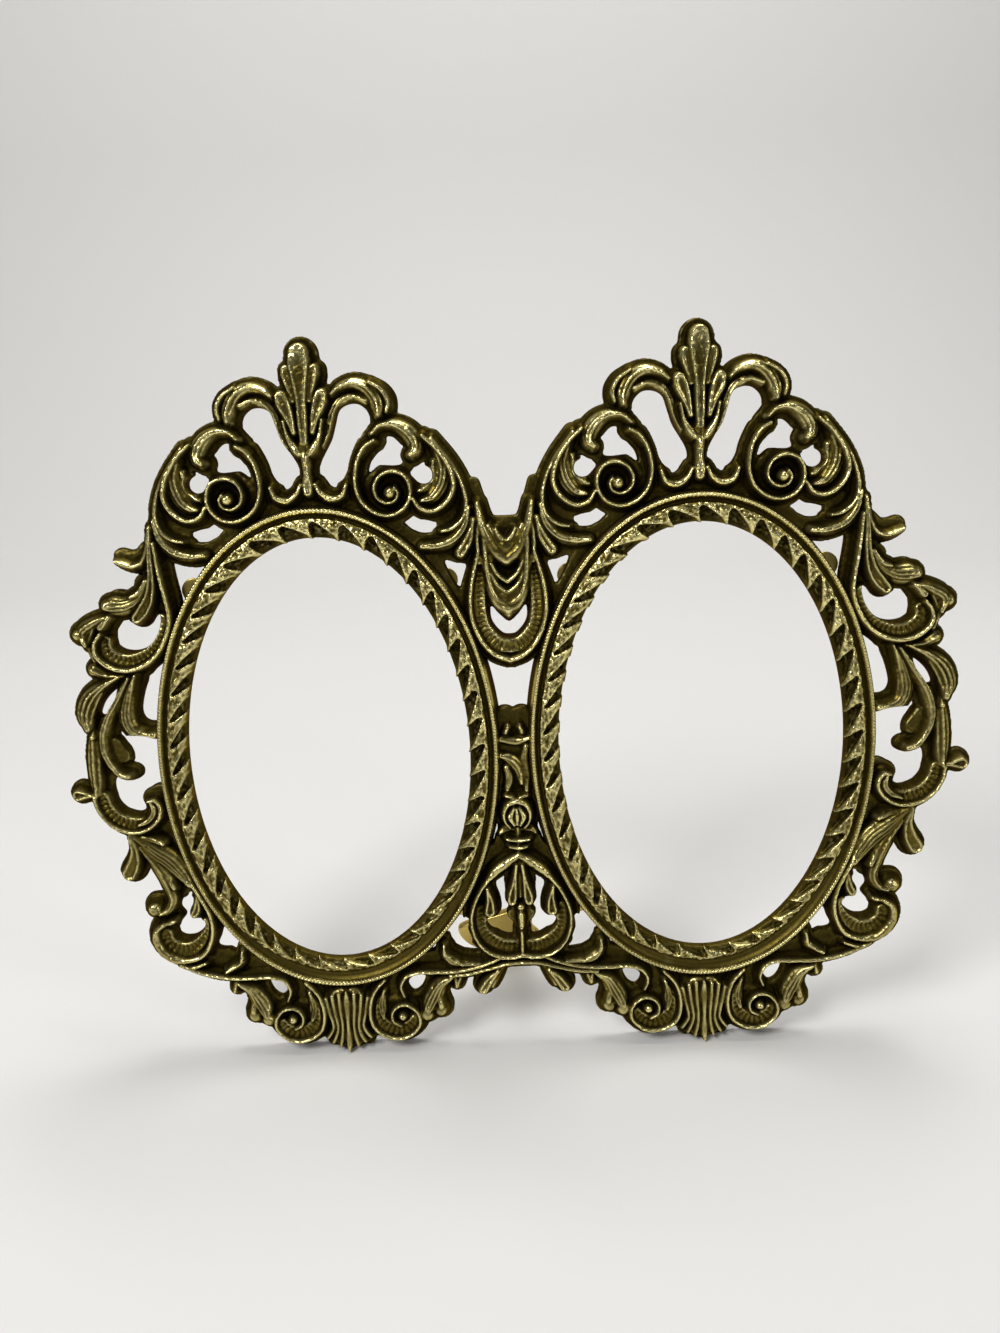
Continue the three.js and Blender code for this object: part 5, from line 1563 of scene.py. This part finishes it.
@dataclass
class TurnClip:
    """A small turning plate behind a ring: a round hub on its screw and a wider rounded end."""

    joint: dict
    hub: float = 1.7
    end: float = 2.1
    reach: float = 3.9
    bore: float = 1.0
    thickness: float = 0.8
    gap: float = 0.3
    bevel: float = 0.2
    sides: int = 96

    def stand(self) -> Stand:
        """Finds the pivot in the frame's plane, and turns the clip outwards from its oval."""
        across, up, _ = PLANE.to_plane(self.joint["pos_m"])
        beside = across - math.copysign(OVAL_OFFSET, across)
        half = (RING_WIDTH + RopeRing.rebate) / 2
        angle = math.atan2(up / (SIGHT_HALF_HEIGHT + half) ** 2, beside / (SIGHT_HALF_WIDTH + half) ** 2)
        return Stand.turned((across, up, 0.0), angle)

    def build(self, finisher: Finisher) -> None:
        """Carries the plate's rounded section round its edge, an arc at each end, and round its bore."""
        name = self.joint["name"].removesuffix("_turn")
        low, high = -self.gap - self.thickness, -self.gap
        edge = round_over(self.bevel)
        inset = np.concatenate((edge[:, 0], edge[::-1, 0]))[:, None]
        height = np.concatenate((low + edge[:, 1], high - edge[::-1, 1]))[:, None]
        angle = np.linspace(-np.pi / 2, 3 * np.pi / 2, self.sides, endpoint=False)
        cosine, sine = np.cos(angle), np.sin(angle)
        number = np.arange(self.sides)
        at_end = (number > 0) & (number < self.sides // 2)
        radius = np.where(at_end, self.end, self.hub) - inset
        x = np.where(at_end, self.reach - self.end, 0.0) + radius * cosine
        rim = np.stack((x, radius * sine, height + 0.0 * angle), axis=2)
        hole = np.column_stack((self.bore * cosine, self.bore * sine, 0.0 * angle))[None]
        rows = np.concatenate((hole + (0.0, 0.0, low), rim, hole + (0.0, 0.0, high)))
        stand = self.stand()
        finisher.add(f"{name}_plate", wrapped_skin(rows, stand, closed=True), "plain_brass", name, name)
        Screw(f"{name}_screw", stand, self.thickness).build(finisher)


@dataclass
class Easel:
    """The easel behind: a bracket with two ears, its pin and screws, and a leg with a broad round foot.

    Sizes are in millimetres. The screws' turn is in degrees, and the turn left out at the foot's tip is in
    radians.
    """

    hinge: dict
    neck: float = 1.8
    heel: float = 2.2
    thickness: float = 1.5
    edge_round: float = 0.5
    edge_steps: int = 13
    edge_share: float = 0.49
    foot_half_width: float = 8.8
    foot_height: float = 14.0
    foot_offset: float = -4.4
    tip_turn: float = 0.03
    foot_steps: int = 40
    flare_height: float = 6.0
    flare_steps: int = 60
    late_flare: float = 4.0
    late_start: float = 0.4
    barrel: float = 1.6
    barrel_edge: float = 0.2
    bore: float = 1.1
    pin: float = 0.8
    pin_head: float = 1.2
    pin_half: float = 3.6
    pin_head_length: float = 0.5
    pin_edge: float = 0.3
    bracket_sheet: float = 1.2
    bracket_edge: float = 0.25
    bracket_steps: int = 3
    weld_gap: float = 0.001
    screw_turn: float = 30.0
    sides: int = 64

    def pivot(self) -> np.ndarray:
        """The hinge's place in the frame's plane, on the frame's centre line."""
        _, up, out = PLANE.to_plane(self.hinge["pos_m"])
        return np.array((0.0, up, out))

    def leg_stand(self) -> Stand:
        """The leg's own axes: across the frame, and up the leg towards its pin."""
        swing = math.radians(LEG_SWING)
        up = np.array((0.0, math.cos(swing), math.sin(swing)))
        return Stand(self.pivot(), np.array((1.0, 0.0, 0.0)), up)

    def pin_stand(self) -> Stand:
        """Axes whose out direction runs across the frame, along the hinge pin."""
        return Stand(self.pivot(), np.array((0.0, 1.0, 0.0)), np.array((0.0, 0.0, 1.0)))

    def length(self) -> float:
        """How far down the leg its foot meets the table."""
        slope = math.radians(LEG_SWING) - math.asin(PLANE.front[2])
        return (self.hinge["pos_m"][2] / MM - self.thickness / 2 * math.sin(slope)) / math.cos(slope)

    def edges(self) -> np.ndarray:
        """The leg's edges: a straight neck, a smooth flare, later on the right, and half an ellipse.

        Returns:
            Rows of (left, right, up), from the heel to the bottom of the foot.
        """
        half_height = self.foot_height / 2
        middle = -self.length() + half_height
        curve = middle + self.flare_height * (1.0 - np.linspace(0.0, 1.0, self.flare_steps))
        turn = np.linspace(0.0, np.pi / 2 - self.tip_turn, self.foot_steps)[1:]
        up = np.concatenate(((self.heel,), curve, middle - half_height * np.sin(turn)))
        width = np.concatenate((np.ones(1 + self.flare_steps), np.cos(turn))) * self.foot_half_width
        early = Ramp(0.0, self.flare_height)(middle + self.flare_height - up)
        late = Ramp(0.0, self.late_flare)(middle + self.late_start - up)
        left = (1 - early) * -self.neck + early * (self.foot_offset - width)
        right = (1 - late) * self.neck + late * (self.foot_offset + width)
        return np.column_stack((left, right, up))

    def leg(self, finisher: Finisher) -> None:
        """Carries a round-edged section down the leg, and a barrel along its pin."""
        left, right, up = self.edges().T[:, :, None]
        angle = np.linspace(-np.pi / 2, np.pi / 2, self.edge_steps)
        level = (self.thickness / 2 - self.edge_round) * np.sign(angle) + self.edge_round * np.sin(angle)
        inset = np.minimum(self.edge_round * (1.0 - np.cos(angle)), self.edge_share * (right - left))
        x = np.concatenate((right - inset, left + inset[:, ::-1]), axis=1)
        z = np.concatenate((level, level[::-1]))
        rows = np.stack((x, up + 0.0 * x, z + 0.0 * x), axis=2)
        sheet = wrapped_skin(rows, self.leg_stand(), closed=False)
        finisher.add("easel_leg_sheet", sheet, "plain_brass", "leg", "easel_leg")
        edge = round_over(self.barrel_edge)
        end = np.column_stack((self.barrel - edge[:, 0], -self.neck + edge[:, 1]))
        half = np.concatenate((np.array(((self.bore, -self.neck),)), end))
        tube = np.concatenate((half, half[::-1] * (1.0, -1.0)))
        barrel = wrapped_skin(turned_rows(tube, self.sides), self.pin_stand(), closed=True)
        finisher.add("easel_leg_barrel", barrel, "plain_brass", "leg")

    def bracket(self, finisher: Finisher) -> None:
        """Turns the pin and the bracket's screws, and eases the bracket's own edges."""
        end = self.pin_half + self.pin_head_length
        edge = round_over(self.pin_edge)
        head = np.column_stack((self.pin_head - edge[:, 0], -end + edge[:, 1]))
        under = np.array(((self.pin_head, -self.pin_half), (self.pin, -self.pin_half)))
        half = np.concatenate((head, under))
        profile = np.concatenate((half, half[::-1] * (1.0, -1.0)))
        pin = wrapped_skin(turned_rows(profile, self.sides), self.pin_stand(), closed=False)
        finisher.add("hinge_pin_turned", pin, "screw_brass", "casting", "hinge_pin")
        for word in ("left", "right"):
            low, high = (np.array(corner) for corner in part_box(f"{word}_bracket_screw"))
            across, up, _ = PLANE.to_plane((low + high) / 2)
            stand = Stand.turned((across, up, 0.0), math.radians(self.screw_turn))
            Screw(f"{word}_bracket_screw", stand, self.bracket_sheet).build(finisher)
        bracket = frame["nodes"]["hinge_bracket"]
        weld = bracket.modifiers.new("weld", "WELD")
        weld.merge_threshold = self.weld_gap * MM
        bevel = bracket.modifiers.new("bevel", "BEVEL")
        bevel.width = self.bracket_edge * MM
        bevel.segments = self.bracket_steps
        finisher.finish_node(bracket, "plain_brass")


@dataclass(frozen=True)
class Lamp:
    """A soft square lamp facing the frame's middle: place and side in metres, and power in watts."""

    name: str
    place: Triple
    size: float
    power: float

    def hang(self) -> None:
        """Puts the lamp into the scene, with its light leaving towards the frame."""
        data = bpy.data.lights.new(self.name, "AREA")
        data.shape = "SQUARE"
        data.size = self.size
        data.energy = self.power
        away = np.array(self.place) - PLANE.origin
        away /= np.linalg.norm(away)
        side = np.cross((0.0, 0.0, 1.0), away)
        side /= np.linalg.norm(side)
        turn = Matrix(np.column_stack((side, np.cross(away, side), away)).tolist()).to_4x4()
        add_object(self.name, data).matrix_world = Matrix.Translation(self.place) @ turn


@dataclass(frozen=True)
class Studio:
    """A pale floor that sweeps up behind, soft lamps, and the camera where the photograph was taken from.

    The camera's place and nearest sight are in millimetres, its turns in degrees and its focal length in the
    photograph's pixels. The floor's sizes are in metres.
    """

    camera_place: Triple = (2.06, -163.06, 120.23)
    look_down: float = 18.255
    look_left: float = 1.405
    roll: float = -2.71
    focal_pixels: float = 1000.0
    photo_height: float = 1333.0
    sensor: float = 36.0
    nearest: float = 5.0
    floor_half_width: float = 1.6
    floor_near: float = -1.2
    floor_far: float = 0.35
    floor_bend: float = 0.25
    floor_rise: float = 1.4
    bend_steps: int = 24
    floor_colour: Colour = (0.74, 0.73, 0.71, 1.0)
    floor_roughness: float = 0.7
    world_colour: Colour = (0.8, 0.8, 0.8, 1.0)
    world_strength: float = 0.12
    lamps: tuple[Lamp, ...] = (
        Lamp("key", (-0.5, -0.5, 0.75), 0.4, 6.0),
        Lamp("fill", (0.65, -0.5, 0.4), 0.25, 1.2),
        Lamp("above", (0.1, 0.2, 0.9), 0.4, 4.6),
    )

    def camera(self) -> None:
        """Stands the camera at its place, turned down, aside and rolled."""
        data = bpy.data.cameras.new("camera")
        data.sensor_width = self.sensor
        data.lens = self.focal_pixels / self.photo_height * self.sensor
        data.clip_start = self.nearest * MM
        turn = (
            Matrix.Rotation(math.radians(self.look_left), 4, "Z")
            @ Matrix.Rotation(math.radians(90.0 - self.look_down), 4, "X")
            @ Matrix.Rotation(math.radians(self.roll), 4, "Z")
        )
        camera = add_object("camera", data)
        camera.matrix_world = Matrix.Translation([value * MM for value in self.camera_place]) @ turn
        bpy.context.scene.camera = camera

    def floor(self) -> None:
        """Makes a floor whose far edge bends up into a backdrop along a quarter circle."""
        turn = np.linspace(0.0, math.pi / 2, self.bend_steps)
        bend = self.floor_bend * np.stack((np.sin(turn), 1.0 - np.cos(turn)), axis=1) + (self.floor_far, 0.0)
        top = (self.floor_far + self.floor_bend, self.floor_rise)
        profile = np.concatenate((((self.floor_near, 0.0),), bend, (top,)))
        count = len(profile)
        edges = (-self.floor_half_width, self.floor_half_width)
        sides = [np.insert(profile, 0, across, axis=1) for across in edges]
        rows = np.arange(count - 1)
        faces = np.stack((rows, rows + count, rows + count + 1, rows + 1), axis=1)
        mesh = bpy.data.meshes.new("floor")
        mesh.from_pydata(np.concatenate(sides).tolist(), [], faces.tolist())
        mesh.polygons.foreach_set("use_smooth", np.ones(len(faces), bool))
        material = bpy.data.materials.new("pale_floor")
        material.use_nodes = True
        shader = material.node_tree.nodes["Principled BSDF"]
        shader.inputs["Base Color"].default_value = self.floor_colour
        shader.inputs["Roughness"].default_value = self.floor_roughness
        mesh.materials.append(material)
        floor = add_object("floor", mesh)

    def lights(self) -> None:
        """Hangs the lamps and sets the plain surrounding light."""
        for lamp in self.lamps:
            lamp.hang()
        world = bpy.data.worlds.new("studio")
        world.use_nodes = True
        background = world.node_tree.nodes["Background"]
        background.inputs["Color"].default_value = self.world_colour
        background.inputs["Strength"].default_value = self.world_strength
        bpy.context.scene.world = world

    def build(self) -> None:
        """Sets up the whole studio."""
        self.camera()
        self.floor()
        self.lights()
        bpy.context.scene.view_settings.view_transform = "Standard"


def main() -> None:
    """Builds the studio and every piece in order."""
    logging.basicConfig(level=logging.INFO, format="%(name)s: %(message)s")
    Studio().build()
    group = PatinaAndPaintedLight().group()
    finisher = Finisher({finish.name: finish.material(group) for finish in FINISHES})
    Scrollwork().build(finisher)
    for side in (-1, 1):
        RopeRing(side).build(finisher)
    for joint in frame["joints"]:
        if joint["name"].endswith("_clip_turn"):
            TurnClip(joint).build(finisher)
        else:
            easel = Easel(joint)
            easel.leg(finisher)
            easel.bracket(finisher)


if __name__ == "__main__":
    main()
